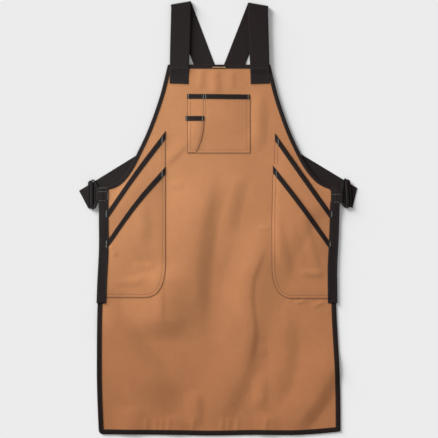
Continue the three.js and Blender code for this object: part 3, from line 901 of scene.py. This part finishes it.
def edge_tapes():
    """The lengths of tape in order round the edge, with the place where each begins."""
    starts = {
        "bib_binding": (MIDDLE + BIB_JOIN, BIB_TOP),
        "armhole_binding_left": (MIDDLE - BIB_JOIN, BIB_TOP),
        "side_binding_left": (MIDDLE - ARMHOLE_JOIN, ARMHOLE_JOIN_HEIGHT),
        "hem_binding": (SIDE_EDGE[-1][1], HEM_JOIN),
        "side_binding_right": (SIDE_EDGE[-1][2], HEM_JOIN),
        "armhole_binding_right": (MIDDLE + ARMHOLE_JOIN, ARMHOLE_JOIN_HEIGHT),
    }
    names = list(starts)
    cuts = [outline_index(*place) for place in starts.values()]
    tapes, rows = [], []
    for i, node_name in enumerate(names):
        first, last = cuts[i], cuts[(i + 1) % len(cuts)]
        last += len(BODY_OUTLINE) if last < first else 0
        path = BODY_OUTLINE[np.arange(first, last + 1) % len(BODY_OUTLINE)]
        width = NARROW_TAPE if node_name.startswith(("bib", "armhole")) else TAPE_WIDTH
        section = folded_section(width, range(75, -76, -30), back=True)
        tape = folded_tape(f"soft_{node_name}", path, section, turned_in, body_low, body_high)
        tapes.append(dress(tape, "tape", node_name))
        stitched = turned_in(path, width - TAPE_STITCH)
        rows.append(on(body_high, stitched, PLY_GAP + TAPE * TAPE_STITCH_RISE))
    thread("edge_tape_stitches", rows, *TAPE_STITCHES, BLACK_THREAD)
    return tapes


EDGE_TAPES = edge_tapes()

# Mouths of the pockets


def straight_down(slant):
    """Moves a slanted mouth's line down its pocket, by an inset square to it."""

    def slide(path, inset):
        return path - np.array([0.0, inset * slant])

    return slide


def mouth_tape(node_name, line, width, slant, low, high):
    """Tape over a pocket's mouth, and the row of stitches that holds it."""
    slide = straight_down(slant)
    section = folded_section(width, (75, 45, 15, -15), back=False)
    tape = folded_tape(f"soft_{node_name}", line, section, slide, low, high)
    dress(tape, "tape", node_name)
    return tape, on(high, slide(line, width - TAPE_STITCH), PLY_GAP + TAPE * TAPE_STITCH_RISE)


def tape_bartack(x, top, width, slant, high):
    """The line of a bartack across a mouth's tape."""
    ends = [(x, top - 1.5 * slant), (x, top - (width - 0.5) * slant)]
    return on(high, densify(ends, 2.0), PLY_GAP + TAPE)


def clipped(path, loop):
    return path[inside(*path.T, [loop])]


BARTACKS = []

# Hand pockets
SEAM_ROWS = (0.4, 8.2)
HIDDEN_TAPE_END = 284.5
TACK_INSET = 8.3
LEAN_ENDS = {"left": 100.0, "right": 0.0}


def pocket_place(side, u, y):
    """Points of the plan, from distances out from the middle line."""
    return np.column_stack([MIDDLE + SIDES[side] * np.asarray(u), y])


def pocket_seam(side, margin, mouth):
    """The line down a hand pocket's inner seam, which may lean at its top, then round its corner and along
    its foot."""
    inner, inner_y = mouth[0]
    seam = POCKET_SEAM + SEAM_SHIFT[side] + margin
    foot = POCKET_FOOT + FOOT_SHIFT[side] + margin
    wide, tall = POCKET_CORNER
    lean = np.linspace((inner + margin, inner_y), (seam, LEAN_ENDS[side]), 12)
    corner = quadratic((seam, foot + tall), (seam, foot), (seam + wide, foot), 16)
    path = densify(np.vstack([lean, corner, [(POCKET_EDGE, foot)]]), 4.0)
    return pocket_place(side, *path.T)


def mouth_line(side, mouth, u):
    """Points along a mouth's edge at distances out from the middle line."""
    return pocket_place(side, u, mouth_height(mouth, np.asarray(u)))


def mouth_slant(mouth):
    (inner, inner_y), (outer, outer_y), _ = mouth
    return math.hypot(outer - inner, outer_y - inner_y) / (outer - inner)


def pocket_outline(side, margin, mouth):
    seam = pocket_seam(side, margin, mouth)
    top = mouth_line(side, mouth, np.linspace(mouth[0][0] + margin, POCKET_EDGE, 32))
    top[:, 1] -= WRAP * mouth_slant(mouth)
    return densify(closed(np.vstack([top[:1], seam[2:], top[:0:-1]])), 4.0)[:-1]


def hand_pocket(level, side, margin, low, flat, rows):
    """One ply of a hand pocket with the tape on its mouth."""
    name = f"{level}_hand_pocket_{side}"
    mouth = MOUTHS[side][level]
    outline = pocket_outline(side, margin, mouth)
    high = grooved(flat, rows)
    cloth = panel(f"soft_{name}", [outline], low, high, POCKET_STEP, CLOTH_RIM, CANVAS_CLOTH, rows)
    dress(cloth, "canvas", name)
    line = mouth_line(side, mouth, np.linspace(mouth[0][0], HIDDEN_TAPE_END, 48))
    slant = mouth_slant(mouth)
    width = MOUTH_TAPES[side]
    tape, stitched = mouth_tape(f"{level}_pocket_binding_{side}", line, width, slant, low, flat)
    tack = mouth_line(side, mouth, [mouth[0][0] + TACK_INSET])
    BARTACKS.append(tape_bartack(*tack[0], width, slant, flat))
    return stitched


def hand_pockets(side):
    upper_mouth, lower_mouth = MOUTHS[side]["upper"], MOUTHS[side]["lower"]
    lower_seam = pocket_seam(side, 0, lower_mouth)
    upper_seam = pocket_seam(side, UPPER_INSET, upper_mouth)
    lower_outline = pocket_outline(side, 0, lower_mouth)
    upper_outline = pocket_outline(side, UPPER_INSET, upper_mouth)
    sign = SIDES[side]
    lower_rows = [clipped(offset(lower_seam, sign * inset), lower_outline) for inset in SEAM_ROWS]
    upper_rows = [clipped(offset(upper_seam, sign * inset), upper_outline) for inset in SEAM_ROWS]

    def upper_low(x, y):
        return body_high(x, y) + PLY_GAP + hand_pocket_bulge(upper_mouth, x, y)

    def upper_flat(x, y):
        return upper_low(x, y) + CANVAS + turned_edge(x, y, upper_seam)

    def lower_low(x, y):
        turned_down = (CANVAS + PLY_GAP) * (1 - smooth(0, TURNED_SLOPE, distance(x, y, lower_seam)))
        return upper_flat(x, y) + PLY_GAP + hand_pocket_bulge(lower_mouth, x, y) - turned_down

    def lower_flat(x, y):
        return lower_low(x, y) + CANVAS + turned_edge(x, y, lower_seam)

    black = [
        hand_pocket("upper", side, UPPER_INSET, upper_low, upper_flat, upper_rows),
        hand_pocket("lower", side, 0, lower_low, lower_flat, lower_rows),
    ]
    lower_high = grooved(lower_flat, lower_rows)
    upper_high = grooved(upper_flat, upper_rows)
    bare = [row[row[:, 1] > lower_mouth[0][1]] for row in upper_rows]
    edge_rows, inner_rows = (
        [on(lower_high, lower, STITCH_RISE), on(upper_high, upper, STITCH_RISE)]
        for lower, upper in zip(lower_rows, bare)
    )
    # Edge rows in brown thread: real stitches, and painted shade along the pocket's edge seam.
    edge_thread_with_seam_shade = thread(f"pocket_edge_stitches_with_seam_shade_{side}", edge_rows, *POCKET_EDGE_STITCHES, BROWN_THREAD_WITH_SEAM_SHADE)
    thread(f"pocket_stitches_{side}", inner_rows, *POCKET_STITCHES, TAN_THREAD)
    thread(f"mouth_stitches_{side}", black, *TAPE_STITCHES, BLACK_THREAD)


for side in SIDES:
    hand_pockets(side)

# Bib pocket and pencil pocket
PATCH_ROWS = (0.4, 8.2)
PENCIL_ROWS = (0.9, 4.5)
BIB_TACKS = (-76.0, *PENCIL_SEAMS, 75.5)
PENCIL_TACKS = (-80.5, -40.5)


def bib_pocket_corners():
    left, right, bottom = BIB_POCKET["left"], BIB_POCKET["right"], BIB_POCKET["bottom"]
    top = BIB_POCKET["top"] - WRAP
    return np.array([(left, top), (left, bottom), (right, bottom), (right, top + BIB_TILT)])


def pencil_curve():
    """The pencil pocket's right edge, from its foot up to its mouth."""
    right, bottom, top = PENCIL_POCKET["right"], PENCIL_POCKET["bottom"], PENCIL_POCKET["top"] - WRAP
    return quadratic((PENCIL_FOOT, bottom), (right, PENCIL_SWELL), (right, top), 32)


def patch_mouth(node_name, top, ends, tilt, tacks, low, flat):
    """Tape over a patch pocket's mouth with its bartacks, and the row of stitches that holds it."""
    line = np.linspace((ends[0], top), (ends[1], top + tilt), 40)
    for tack in tacks:
        BARTACKS.append(tape_bartack(tack, np.interp(tack, *line.T), TAPE_WIDTH, 1.0, flat))
    return mouth_tape(node_name, line, TAPE_WIDTH, 1.0, low, flat)


def patch_pockets():
    bib_corners = bib_pocket_corners()
    bib_path = densify(bib_corners, 3.0)
    curve = pencil_curve()
    left, foot = PENCIL_POCKET["left"], PENCIL_POCKET["bottom"]
    pencil_path = densify(np.vstack([[(left, curve[-1][1]), (left, foot)], curve]), 3.0)
    bib_rows = [densify(offset(bib_corners, inset), 3.0) for inset in PATCH_ROWS]
    pencil_rows = [offset(curve, inset)[1:] for inset in PENCIL_ROWS]
    channel_top = BIB_POCKET["top"] - TAPE_WIDTH + 2
    channel = [densify([(x, PENCIL_POCKET["top"]), (x, channel_top)], 3.0) for x in PENCIL_SEAMS]

    def bib_low(x, y):
        return body_high(x, y) + PLY_GAP + patch_bulge(BIB_POCKET, BIB_BULGE, x, y)

    def bib_flat(x, y):
        return bib_low(x, y) + CANVAS + turned_edge(x, y, bib_path)

    def pencil_low(x, y):
        return bib_flat(x, y) + PLY_GAP + patch_bulge(PENCIL_POCKET, PENCIL_BULGE, x, y)

    def pencil_flat(x, y):
        return pencil_low(x, y) + CANVAS

    bib_seams = bib_rows + channel
    bib_high = grooved(bib_flat, bib_seams)
    pencil_high = grooved(pencil_flat, pencil_rows + bib_rows)

    def shown(x, y):
        return np.where(inside(x, y, [pencil_path]), pencil_high(x, y), bib_high(x, y))

    bib = panel(
        "soft_bib_pocket", [bib_path], bib_low, bib_high, PATCH_STEP, CLOTH_RIM, CANVAS_CLOTH, bib_seams
    )
    dress(bib, "canvas", "bib_pocket")
    pencil = panel(
        "soft_pencil_pocket", [pencil_path], pencil_low, pencil_high, PENCIL_STEP, CLOTH_RIM, CANVAS_CLOTH,
        pencil_rows,
    )
    dress(pencil, "canvas", "pencil_pocket")
    bib_tape, bib_stitched = patch_mouth(
        "bib_pocket_binding", BIB_POCKET["top"], BIB_TAPE, BIB_TILT, BIB_TACKS, bib_low, bib_flat
    )
    pencil_tape, pencil_stitched = patch_mouth(
        "pencil_pocket_binding", PENCIL_POCKET["top"], PENCIL_TAPE, 0, PENCIL_TACKS, pencil_low, pencil_flat
    )
    black = [bib_stitched, pencil_stitched]
    edge_rows, inner_rows = (
        [on(shown, bib_row, STITCH_RISE), on(pencil_high, pencil_row, STITCH_RISE)]
        for bib_row, pencil_row in zip(bib_rows, pencil_rows)
    )
    inner_rows += [on(shown, row, STITCH_RISE) for row in channel]
    # Edge rows in brown thread: real stitches, and painted shade along the pockets' edges.
    thread("bib_edge_stitches_with_seam_shade", edge_rows, *BIB_EDGE_STITCHES, BROWN_THREAD_WITH_SEAM_SHADE)
    thread("bib_stitches", inner_rows, *BIB_STITCHES, TAN_THREAD)
    thread("bib_mouth_stitches", black, *BIB_MOUTH_STITCHES, BLACK_THREAD)


patch_pockets()

# Webbing

# Columns across a strip of webbing, and its thickness there, which thins at the selvedges.
ACROSS = np.sin(np.linspace(-math.pi / 2, math.pi / 2, 17))
SELVEDGE = 1 - 0.7 * smooth(0.955, 1.0, np.abs(ACROSS))


def ribbon(name, stations, lay=None):
    """Webbing through stations: the inner and the outer face's centre in plan, as x + yj, half the width,
    and the heights of the two faces. lay, if given, is the height that the inner face lies on."""
    inner_at, outer_at, half, inner_z, outer_z = (np.array(column) for column in zip(*stations))
    faces = []
    for centre, height in ((outer_at, outer_z), (inner_at, inner_z)):
        plan = centre[:, None] + half[:, None] * ACROSS
        heights = np.repeat(height[:, None], len(ACROSS), axis=1)
        faces.append(np.stack([plan.real, plan.imag, heights], axis=-1))
    outer, inner = faces
    if lay:
        rise = lay(inner[..., 0], inner[..., 1])
        outer[..., 2] += rise
        inner[..., 2] += rise
    middle = (outer + inner) / 2
    thin = SELVEDGE[None, :, None]
    return band(name, middle + (outer - middle) * thin, middle + (inner - middle) * thin, BLACK_WEBBING)


def cross(a, b):
    return (a.conjugate() * b).imag


def dot(a, b):
    return (a.conjugate() * b).real


def unit(v):
    return v / abs(v)


# Side strips lie over the pockets' outer ends and the edge tape.
STRIP_STITCH = 2.6
MOUTH_RAMP = 6.0
FOOT_RAMP = (-8.0, 2.0)
TAPE_RAMP = (-3.0, 7.0)

# Bartacks on the strips: x, and the heights of their ends.
STRIP_TACKS = (
    (-284.5, 20.5, 3.0),
    (-284.5, -56.0, -73.5),
    (287.3, 17.5, 3.5),
    (283.5, -59.0, -71.0),
)


def strip_rest(x, y):
    u = np.abs(x - MIDDLE)
    ply = CANVAS + PLY_GAP
    tops = [mouth_height(mouth, u) for mouth in MOUTHS["left"].values()]
    plies = sum(smooth(top + MOUTH_RAMP, top - MOUTH_RAMP, y) for top in tops)
    pockets = ply * plies * smooth(POCKET_FOOT + FOOT_RAMP[0], POCKET_FOOT + FOOT_RAMP[1], y)
    over_tape = smooth(POCKET_EDGE + TAPE_RAMP[0], POCKET_EDGE + TAPE_RAMP[1], u)
    return body_high(x, y) + PLY_GAP + pockets * (1 - over_tape) + (TAPE + PLY_GAP) * over_tape


def side_strip(side):
    middle = resample(spline(STRIPS[side], 12), 3.2)
    stations = [(x + 1j * y, x + 1j * y, STRIP_WIDTH / 2, 0.0, WEBBING) for x, y in middle]
    dress(ribbon(f"soft_side_webbing_{side}", stations, strip_rest), "webbing", f"side_webbing_{side}")
    rows = []
    for share in (-1, 1):
        aside = share * (STRIP_WIDTH / 2 - STRIP_STITCH)
        rows.append(on(strip_rest, middle + (aside, 0), WEBBING))
    thread(f"strip_stitches_{side}", rows, *STRIP_STITCHES, BLACK_THREAD)


for side in SIDES:
    side_strip(side)

for x, top, foot in STRIP_TACKS:
    BARTACKS.append(on(strip_rest, densify([(x, top), (x, foot)], 2.0), WEBBING + STITCH_RISE))

# Buckles: the ring and the nub at their ends, their frame's corners, and the room round a slot's webbing.
RING_RADIUS = 4.5
RING_HOLE = 1.3
RING_INSET = 1.8
NUB_RADIUS = 3.0
FRAME_END = 35.5
FRAME_CORNERS = (7.5, 4.0)
TAB_CORNER = 2.0
TAB_RAIL = 3.4
SLOT_ROOM = 0.3


def buckle_slots():
    """Distance of each slot's two sides from the buckle's middle, counted outwards from the body."""
    at = -BUCKLE_WIDTH / 2
    slots = []
    for width in BUCKLE_SLOTS:
        slots.append((at + BUCKLE_BAR, at + BUCKLE_BAR + width))
        at += BUCKLE_BAR + width
    return slots


def arc(centre, radius, start, end, steps):
    turn = np.radians(np.linspace(start, end, steps))
    return np.array(centre) + radius * np.column_stack([np.cos(turn), np.sin(turn)])


def rounded_box(left, right, bottom, top, radius):
    corners = [
        arc((right - radius, top - radius), radius, 0, 90, 5),
        arc((left + radius, top - radius), radius, 90, 180, 5),
        arc((left + radius, bottom + radius), radius, 180, 270, 5),
        arc((right - radius, bottom + radius), radius, 270, 360, 5),
    ]
    return np.vstack(corners)


def buckle_loops(side):
    """A ladder frame with a ring at one end and a nub at the other, which narrows to its tab's bar. Its own
    x runs towards the body, and the slots that the strap runs through slant with the strap."""
    half, end = BUCKLE_WIDTH / 2, FRAME_END
    turned = -SIDES[side]
    ring_corner, nub_corner = FRAME_CORNERS[::turned]
    tab_slot, near, far = buckle_slots()
    tab_middle = turned * (TAB_MIDDLE_Y[side] - BUCKLES[side]["at"].imag)
    tab_half = TAB_LENGTH / 2 + SLOT_ROOM
    tab_end = tab_half + TAB_RAIL - TAB_CORNER
    ring = math.degrees(math.asin(RING_INSET / RING_RADIUS))
    outline = [
        arc((half - TAB_CORNER, tab_middle + tab_end), TAB_CORNER, 0, 50, 5),
        [(-near[0] + BUCKLE_BAR, end)],
        arc((0, end - RING_INSET), RING_RADIUS, ring, 180 - ring, 15),
        arc((ring_corner - half, end - ring_corner), ring_corner, 90, 180, 7),
        arc((nub_corner - half, nub_corner - end), nub_corner, 180, 270, 7),
        arc((0, -end), NUB_RADIUS, 185, 355, 9),
        [(-near[0] + BUCKLE_BAR, -end)],
        arc((half - TAB_CORNER, tab_middle - tab_end), TAB_CORNER, 310, 360, 5),
    ]
    slot_half = STRAP_WIDTH / 2 * math.hypot(1, BUCKLE_SLANT) + SLOT_ROOM
    slots = [rounded_box(-tab_slot[1], -tab_slot[0], tab_middle - tab_half, tab_middle + tab_half, 1.0)]
    for low, high in (near, far):
        slot = rounded_box(-high, -low, -slot_half, slot_half, 1.0)
        slot[:, 1] += turned * BUCKLE_SLANT * (slot[:, 0] + (near[0] + far[1]) / 2)
        slots.append(slot)
    loops = [densify(closed(loop), 2.5)[:-1] for loop in (np.vstack(outline), *slots)]
    loops.append(arc((0, end - RING_INSET), RING_HOLE, 0, 337.5, 16))
    tilt = math.radians(BUCKLES[side]["tilt"])
    turn = turned * np.array([[math.cos(tilt), math.sin(tilt)], [-math.sin(tilt), math.cos(tilt)]])
    middle = BUCKLES[side]["at"]
    return [loop @ turn + (middle.real, middle.imag) for loop in loops]


def level(height):
    return lambda x, y: np.full(np.shape(x), height)


for side in SIDES:
    low, high = level(BUCKLE_LOW), level(BUCKLE_LOW + BUCKLE_THICK)
    ladder = panel(
        f"moulded_buckle_{side}", buckle_loops(side), low, high, BUCKLE_STEP, BUCKLE_RIM, BLACK_PLASTIC
    )
    dress(ladder, "buckle", f"buckle_{side}")

# Tabs: one strip of webbing folded round the buckle's inner bar, with a leg over the body's edge and a
# leg under it.
TAB_DROPS = {"left": (-13.0, -19.0), "right": (-16.0, -22.0)}


def bar_edge(side):
    lock = BUCKLES[side]
    lean = math.tan(math.radians(lock["tilt"])) * (TAB_MIDDLE_Y[side] - lock["at"].imag)
    return lock["at"].real - lean - SIDES[side] * (BUCKLE_WIDTH / 2 - BUCKLE_BAR)


def tab_dip(side, along_leg):
    """How far the upper leg comes down off the edge tape on to the canvas."""
    return (TAPE + PLY_GAP) * smooth(*TAB_DROPS[side], along_leg)


def tab(side):
    inner = (TAB_OVER_LOW - TAB_UNDER_TOP) / 2
    middle = (TAB_OVER_LOW + TAB_UNDER_TOP) / 2
    leg = np.linspace(-TAB_SEWN[side], 0, 22)
    turn = np.linspace(math.pi / 2, -math.pi / 2, 19)[1:-1]

    def profile(radius):
        across = np.concatenate([leg, radius * np.cos(turn), leg[::-1]])
        over = middle + radius - tab_dip(side, leg)
        under = np.full(len(leg), middle - radius)
        height = np.concatenate([over, middle + radius * np.sin(turn), under])
        return bar_edge(side) + SIDES[side] * across + 1j * TAB_MIDDLE_Y[side], height

    inner_at, inner_z = profile(inner)
    outer_at, outer_z = profile(inner + TAB_PLY)
    half = np.full(len(inner_at), 0.5j * TAB_LENGTH)
    webbing = ribbon(f"soft_buckle_tab_{side}", list(zip(inner_at, outer_at, half, inner_z, outer_z)))
    dress(webbing, "webbing", f"buckle_tab_{side}")


def on_tab(side, ends):
    """A line on a tab's upper leg, given by distance along it from the fold and by height on the apron."""
    line = densify(ends, 2.0)
    top = TAB_OVER_LOW + TAB_PLY - tab_dip(side, line[:, 0])
    return np.column_stack([bar_edge(side) + SIDES[side] * line[:, 0], line[:, 1], top + 0.05])


# Rows of stitches on each tab's upper leg, as on_tab takes them.
TAB_ROWS = {
    "left": (
        ((-25, 77.2), (-4, 77.2)),
        ((-25, 68.0), (-4, 68.0)),
        ((-22, 44.8), (-4, 44.8)),
        ((-27, 67), (-27, 46.5)),
    ),
    "right": (((-26.5, 61.2), (-4, 61.2)), ((-22, 41.4), (-5, 41.4))),
}
for side in SIDES:
    tab(side)
pale = [on_tab(side, ends) for side in SIDES for ends in TAB_ROWS[side]]
thread("tab_stitches", pale, *TAB_STITCHES, GREY_THREAD)

# Shoulder straps
FRONT_SAG = 0.8
SEWN_TUCK = 0.035
SEWN_MARGIN = 4
SEWN_LENGTH = 40


def half_section(direction, line):
    """Half a strap's width along a section line that crosses its direction at any angle."""
    line = unit(line)
    return line * STRAP_WIDTH / 2 / abs(cross(direction, line))


def front_rest(y, fold_y):
    """Height of a strap's front run: on the canvas, over the bib's tape, and slack up to its fold."""
    over_tape = smooth(BIB_TOP - 2 * TAPE_WIDTH, BIB_TOP - TAPE_WIDTH, y)
    canvas = REST + STRAP_LIFT + CANVAS + PLY_GAP
    slack = np.clip((y - BIB_TOP) / (fold_y - BIB_TOP), 0, 1)
    return canvas + (TAB_OVER_LOW - canvas) * over_tape - FRONT_SAG * np.sin(math.pi * slack)


def strap_stations(side):
    strap = STRAPS[side]
    sewn, fold, bend = strap["sewn"], strap["fold"], strap["bend"]
    lock = BUCKLES[strap["buckle"]]
    sign = SIDES[strap["buckle"]]
    outward = sign * np.exp(1j * math.radians(lock["tilt"]))
    _, near, far = buckle_slots()
    slot_middle = (near[0] + far[1]) / 2
    lock_point = lock["at"] + outward * slot_middle
    up = unit(fold - sewn)
    down = unit(bend - fold)
    waist = unit(lock_point - bend)
    outwards = unit(up - down)
    crease = -1j * outwards
    stations = []

    def add(centre, half, inner, outer):
        stations.append((centre, centre, half, inner, outer))

    # Front run, sewn to the bib, flat up to the fold.
    for share in np.linspace(0, 1, 60, endpoint=False):
        centre = sewn + (fold - sewn) * share
        low = front_rest(centre.imag, fold.imag)
        half = half_section(up, -1j * up + (crease + 1j * up) * smooth(0.6, 1, share))
        add(centre, half * (1 - SEWN_TUCK * smooth(0.5, 0, share)), low, low + WEBBING)

    # Fold: the strap turns round a crease that halves the angle between its two runs.
    drift = dot(up, crease) / dot(up, outwards)
    in_radius = (TAB_OVER_LOW - WEBBING) / 2
    out_radius = in_radius + WEBBING
    radii = (in_radius, out_radius)
    for turn in np.linspace(0, math.pi, 19):
        slip = (in_radius + out_radius) / 2 * (turn - math.pi / 2) * drift
        inner, outer = (fold + outwards * radius * math.sin(turn) + crease * slip for radius in radii)
        heights = [out_radius + radius * math.cos(turn) for radius in radii]
        stations.append((inner, outer, half_section(up, crease), *heights))

    # Back run: straight, an easy bend in plan, straight again, lifted where it crosses the other strap.
    def back(centre, half):
        away = abs(centre - CROSSING)
        crossed = 1 - smooth(CROSSING_FLAT, CROSSING_FLAT + CROSSING_RAMP, away)
        lift = strap["over"] * (WEBBING + PLY_GAP) * crossed
        add(centre, half, lift + WEBBING, lift)

    start = stations[-1][0]
    bend_turn = np.angle(waist / down)
    tangent = BEND_RADIUS * math.tan(abs(bend_turn) / 2)
    bend_start = bend - down * tangent
    for share in np.linspace(0, 1, 24)[1:-1]:
        line = crease + (1j * down - crease) * smooth(0, 0.4, share)
        back(start + (bend_start - start) * share, half_section(down, line))
    pivot = bend_start + 1j * down * math.copysign(BEND_RADIUS, bend_turn)
    for share in np.linspace(0, 1, 40):
        turned = np.exp(1j * bend_turn * share)
        back(pivot + (bend_start - pivot) * turned, half_section(down * turned, 1j * down * turned))

    # Through the buckle: under its bar, over the middle bar, under the outer bar, and out to the free tail.
    bars = 1j * outward
    duck = BUCKLE_LOW - WEBBING - 2 * WEAVE_EASE
    climb = BUCKLE_LOW + BUCKLE_THICK + WEAVE_EASE
    weave = (
        (-BUCKLE_WIDTH, 0.0),
        (near[0] - BUCKLE_BAR, WEAVE_EASE),
        (near[0] + WEAVE_EASE, duck),
        (near[1] - WEAVE_EASE, climb),
        (far[0] + WEAVE_EASE, climb),
        (far[1] - WEAVE_EASE, duck),
        (far[1] + BUCKLE_BAR, WEAVE_EASE),
    )
    leaning = dot(waist, outward)

    def at_slot(at):
        return lock_point + waist * (at - slot_middle) / leaning

    bend_end = bend + waist * tangent
    for share in np.linspace(0, 1, 20)[1:]:
        line = 1j * waist + (bars - 1j * waist) * smooth(0.3, 1, share)
        back(bend_end + (at_slot(-BUCKLE_WIDTH) - bend_end) * share, half_section(waist, line))
    for (at, low), (next_at, next_low) in zip(weave[:-1], weave[1:]):
        for share in np.linspace(0, 1, 7)[1:]:
            height = low + (next_low - low) * smooth(0, 1, share)
            add(at_slot(at + (next_at - at) * share), half_section(waist, bars), height + WEBBING, height)
    tail_line = 1j * waist * np.exp(1j * sign * math.radians(lock["tail_skew"]))
    tail_end = lock_point + waist * lock["tail"]
    tail_start = at_slot(weave[-1][0])
    for share in np.linspace(0, 1, 10)[1:]:
        low = WEAVE_EASE * (1 - smooth(0, 1, share))
        half = half_section(waist, bars + (tail_line - bars) * share)
        add(tail_start + (tail_end - tail_start) * share, half, low + WEBBING, low)
    return stations


def sewn_box(side):
    """Rows of stitches that hold a strap's sewn end on the bib."""
    strap = STRAPS[side]
    up = unit(strap["fold"] - strap["sewn"])
    half = (STRAP_WIDTH / 2 - SEWN_MARGIN) * -1j * up
    low, high = strap["sewn"] + SEWN_MARGIN * up, strap["sewn"] + SEWN_LENGTH * up
    corners = [low - half, low + half, high + half, high - half, low - half]
    line = densify([(p.real, p.imag) for p in corners], 2.0)
    return np.column_stack([line, front_rest(line[:, 1], strap["fold"].imag) + WEBBING])


for side in SIDES:
    dress(ribbon(f"soft_shoulder_strap_{side}", strap_stations(side)), "webbing", f"shoulder_strap_{side}")
sewn_boxes = [sewn_box(side) for side in SIDES]
thread("strap_stitches", sewn_boxes, *STRAP_STITCHES, BLACK_THREAD)

# Bartacks, and the end of the tape's last row of stitches at the bib's top.
BIB_TOP_ROW = (-15.0, 18.0)
BIB_TOP_ROW_HEIGHT = BIB_TOP - 7.0
thread("bartacks", BARTACKS, *BARTACK_STITCHES, PALE_THREAD, over=BARTACK_WIDTH)
tape_end = densify([(x, BIB_TOP_ROW_HEIGHT) for x in BIB_TOP_ROW], 3.0)
thread("bib_top_stitches", [on(body_high, tape_end, PLY_GAP + TAPE)], *BIB_TOP_STITCHES, SAND_THREAD)

# Camera, straight down on the apron as in the photograph.
CAMERA_LENS = 135.0
SENSOR = 36.0


def make_camera():
    camera = bpy.data.objects.new("camera", bpy.data.cameras.new("camera"))
    bpy.context.scene.collection.objects.link(camera)
    camera.data.lens = CAMERA_LENS
    camera.data.sensor_width = SENSOR
    off = (IMAGE_SIZE / 2 - ORIGIN_PIXEL) * PIXEL
    height = IMAGE_SIZE * PIXEL * CAMERA_LENS / SENSOR
    camera.location = Vector(metres([off, -off, height]))
    bpy.context.scene.camera = camera


make_camera()

# Floor and light
FLOOR_SIZE = 40.0
FLOOR_GREY = 0.85


def make_floor():
    mesh = bpy.data.meshes.new("floor")
    half = FLOOR_SIZE / 2
    corners = [(-half, -half, 0), (half, -half, 0), (half, half, 0), (-half, half, 0)]
    mesh.from_pydata(corners, [], [(0, 1, 2, 3)])
    floor = bpy.data.objects.new("floor", mesh)
    bpy.context.scene.collection.objects.link(floor)
    material, _, shader = finish("floor_paper", 1.0, 0.0)
    shader.inputs["Base Color"].default_value = (FLOOR_GREY, FLOOR_GREY, FLOOR_GREY, 1)
    mesh.materials.append(material)


make_floor()

# Key light from the upper left, a soft spot that lights the apron's upper left alone, and an even sky.
SUN_ELEVATION = 17.0
SUN_FROM = 139.0
SUN_STRENGTH = 5.75
SUN_ANGLE = 30.0
SPOT_PLACE = (-900.0, 520.0, 1000.0)
SPOT_AIM = (-190.0, 185.0, 0.0)
SPOT_ROUND = 630.0
SPOT_SOFTNESS = 0.25
SPOT_POWER = 77.0
SPOT_COLOUR = (0.66, 0.9, 1.0)
SKY = 0.45


def add_light(name, kind, energy, towards):
    light = bpy.data.objects.new(name, bpy.data.lights.new(name, kind))
    bpy.context.scene.collection.objects.link(light)
    light.data.energy = energy
    light.rotation_euler = towards.to_track_quat("Z", "Y").to_euler()
    return light


def make_light():
    rise, heading = math.radians(SUN_ELEVATION), math.radians(SUN_FROM)
    flat = math.cos(rise)
    towards = Vector((math.cos(heading) * flat, math.sin(heading) * flat, math.sin(rise)))
    sun = add_light("key", "SUN", SUN_STRENGTH, towards)
    sun.data.angle = math.radians(SUN_ANGLE)
    back = Vector(SPOT_PLACE) - Vector(SPOT_AIM)
    spot = add_light("spot", "SPOT", SPOT_POWER, back)
    spot.location = metres(SPOT_PLACE)
    spot.data.spot_size = 2 * math.atan(SPOT_ROUND / back.length)
    spot.data.spot_blend = 1.0
    spot.data.shadow_soft_size = SPOT_SOFTNESS
    spot.data.color = SPOT_COLOUR
    spot.light_linking.receiver_collection = APRON
    world = bpy.data.worlds.new("studio")
    world.use_nodes = True
    world.node_tree.nodes["Background"].inputs["Color"].default_value = (1, 1, 1, 1)
    world.node_tree.nodes["Background"].inputs["Strength"].default_value = SKY
    bpy.context.scene.world = world
    bpy.context.scene.view_settings.view_transform = "Standard"


make_light()
